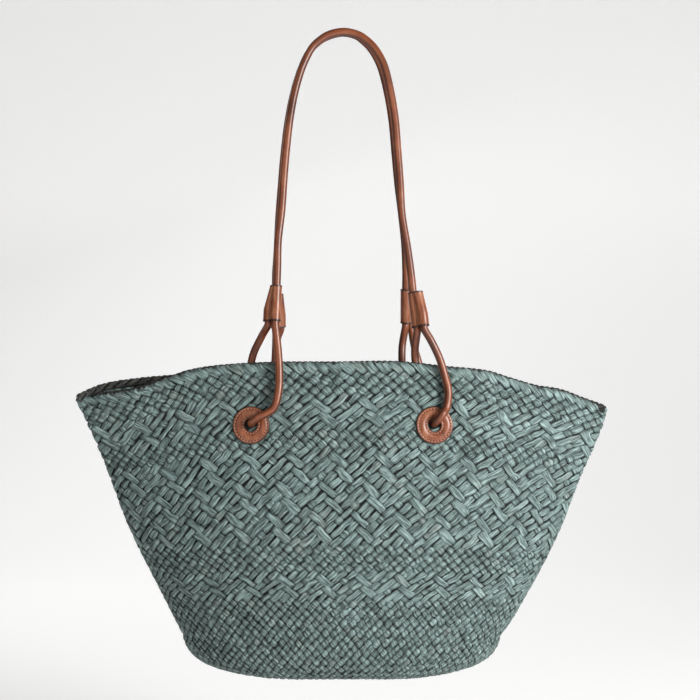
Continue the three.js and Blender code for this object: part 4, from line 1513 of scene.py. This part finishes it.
def leather_material(leather, name, rolled=False):
    """Oiled leather: uneven tan, fine grain, dark painted edges and seams. A cord's stitches are darker."""
    n = Nodes(name)
    place = n.coordinates("Object")
    patches = n.noise(place, 28.0, 3.0)
    grain = n.noise(place, 1400.0, 2.0, 0.6)
    if rolled:
        laid = n.coordinates("UV")
        streak_scale = (14.0, 9.0, 1.0)
        fold_scale = (600.0, 5.0, 1.0)
        paler = -0.06
        thread_shade = leather.deep
    else:
        laid = place
        streak_scale = (260.0, 260.0, 60.0)
        fold_scale = (420.0, 420.0, 50.0)
        paler = 0.04
        thread_shade = leather.thread
    streaks = n.noise(n.scaled(laid, streak_scale), 1.0, 3.0, 0.6)
    folds = n.noise(n.scaled(laid, fold_scale), 1.0, 2.0)
    thread = n.attribute("thread")
    uneven = n.total(paler, (patches, 0.55), (streaks, 0.45))
    shade = n.ramp(uneven, [(0.33, leather.deep), (0.5, leather.tan), (0.68, leather.pale)])
    shade = n.mix(n.attribute("painted"), shade, leather.edge)
    shade = n.mix(thread, shade, thread_shade)
    rough = n.total(0.27, (grain, 0.14), (thread, 0.3))
    wrinkled = n.bump(folds, 0.25, 0.0006)
    relief = n.bump(grain, 0.22, 0.0003, Normal=wrinkled)
    n.surface(Base_Color=shade, Roughness=rough, Specular_IOR_Level=0.5, Normal=relief)
    return n.material


class BAG_OT_set_studio(bpy.types.Operator):
    """Set up the floor, the backdrop, the camera and the light"""

    bl_idname = "bag.set_studio"
    bl_label = "Set up the Studio"

    FLOOR_DROP = 0.16  # from the base to the floor
    ROOM = 4.0  # half the floor's width
    BEHIND = 2.6  # from the bag to the backdrop
    COVE = 0.9  # rounding between the floor and the backdrop
    COVE_STEPS = 24
    # Each light: its place, its width and its share of the key light's power
    LIGHTS = {
        "key": ((1.3, -1.1, 0.1), 0.6, 1.0),
        "soft": ((-1.0, -1.9, 0.3), 1.5, 0.16),
        "back": ((-0.6, 1.9, 0.9), 1.2, 0.3),
    }

    def execute(self, context):
        studio = context.scene.bag_studio
        floor_z = basket_low.z - self.FLOOR_DROP
        bpy.ops.object.select_all(action="DESELECT")
        bpy.ops.mesh.primitive_plane_add(size=2 * self.ROOM, location=(0, 0, floor_z))
        floor = context.object
        floor.name = "studio_floor"
        bpy.ops.object.mode_set(mode="EDIT")
        bpy.ops.mesh.select_all(action="DESELECT")
        bpy.ops.object.mode_set(mode="OBJECT")
        for edge in floor.data.edges:
            ends = [floor.data.vertices[v].co for v in edge.vertices]
            edge.select = all(end.y > 0 for end in ends)
        bpy.ops.object.mode_set(mode="EDIT")
        bpy.ops.mesh.extrude_region_move(TRANSFORM_OT_translate={"value": (0, 0, self.ROOM)})
        bpy.ops.object.mode_set(mode="OBJECT")
        bpy.ops.object.transform_apply(location=True)
        for vertex in floor.data.vertices:
            if vertex.co.y > 0:
                vertex.co.y = self.BEHIND
        bevel = floor.modifiers.new("cove", "BEVEL")
        bevel.width = self.COVE
        bevel.segments = self.COVE_STEPS
        bpy.ops.object.modifier_apply(modifier="cove")
        bpy.ops.object.shade_smooth()
        n = Nodes("studio")
        pale = (*studio.backdrop, 1)
        n.surface(Base_Color=pale, Roughness=0.9, Specular_IOR_Level=0.1)
        n.surface(Emission_Color=pale, Emission_Strength=studio.glow)
        floor.data.materials.append(n.material)

        camera = bpy.data.objects.new("camera", bpy.data.cameras.new("camera"))
        context.scene.collection.objects.link(camera)
        camera.data.lens = studio.lens
        camera.data.sensor_width = 36
        camera.location = (studio.camera_x, -studio.camera_distance, studio.camera_z)
        camera.rotation_euler = (math.pi / 2, 0, 0)
        context.scene.camera = camera

        for name, (place, width, power) in self.LIGHTS.items():
            self.area_light(context, name, place, width, studio.key * power)
        world = bpy.data.worlds.new("studio")
        context.scene.world = world
        world.use_nodes = True
        background = world.node_tree.nodes["Background"]
        background.inputs["Color"].default_value = (0.96, 0.98, 1.0, 1)
        background.inputs["Strength"].default_value = studio.fill
        context.scene.view_settings.view_transform = "Standard"
        return {"FINISHED"}

    def area_light(self, context, name, place, width, power):
        light = bpy.data.lights.new(name, "AREA")
        light.energy = power
        light.size = width
        lamp = bpy.data.objects.new(name, light)
        context.scene.collection.objects.link(lamp)
        lamp.location = place
        target = Vector((0, 0, (basket_low.z + basket_high.z) / 2))
        lamp.rotation_euler = (target - lamp.location).to_track_quat("-Z", "Y").to_euler()


class BAG_PT_panel(bpy.types.Panel):
    """Sizes, colours and steps of the basket bag"""

    bl_idname = "BAG_PT_panel"
    bl_label = "Straw Basket Bag"
    bl_space_type = "VIEW_3D"
    bl_region_type = "UI"
    bl_category = "Basket"

    def draw(self, context):
        for key, group in SETTINGS.items():
            box = self.layout.box()
            box.label(text=group.__doc__)
            for item in group.__annotations__:
                box.prop(getattr(context.scene, key), item)
        for step in STEPS:
            self.layout.operator(step.bl_idname)


STEPS = [
    BAG_OT_set_studio,
    BAG_OT_weave_wall,
    BAG_OT_weave_base,
    BAG_OT_fill_weave,
    BAG_OT_plait_rim,
    BAG_OT_set_eyelets,
    BAG_OT_wrap_keepers,
    BAG_OT_sew_handles,
]


def register():
    for group in [*SETTINGS.values(), *STEPS, BAG_PT_panel]:
        bpy.utils.register_class(group)
    for key, group in SETTINGS.items():
        setattr(bpy.types.Scene, key, bpy.props.PointerProperty(type=group))


def unregister():
    for key in SETTINGS:
        delattr(bpy.types.Scene, key)
    for group in reversed([*SETTINGS.values(), *STEPS, BAG_PT_panel]):
        bpy.utils.unregister_class(group)


def main():
    register()
    bpy.ops.bag.set_studio()
    bpy.ops.bag.weave_wall()
    bpy.ops.bag.weave_base()
    bpy.ops.bag.fill_weave()
    bpy.ops.bag.plait_rim()
    bpy.ops.bag.set_eyelets()
    bpy.ops.bag.wrap_keepers()
    bpy.ops.bag.sew_handles()
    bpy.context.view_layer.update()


if __name__ == "__main__":
    main()
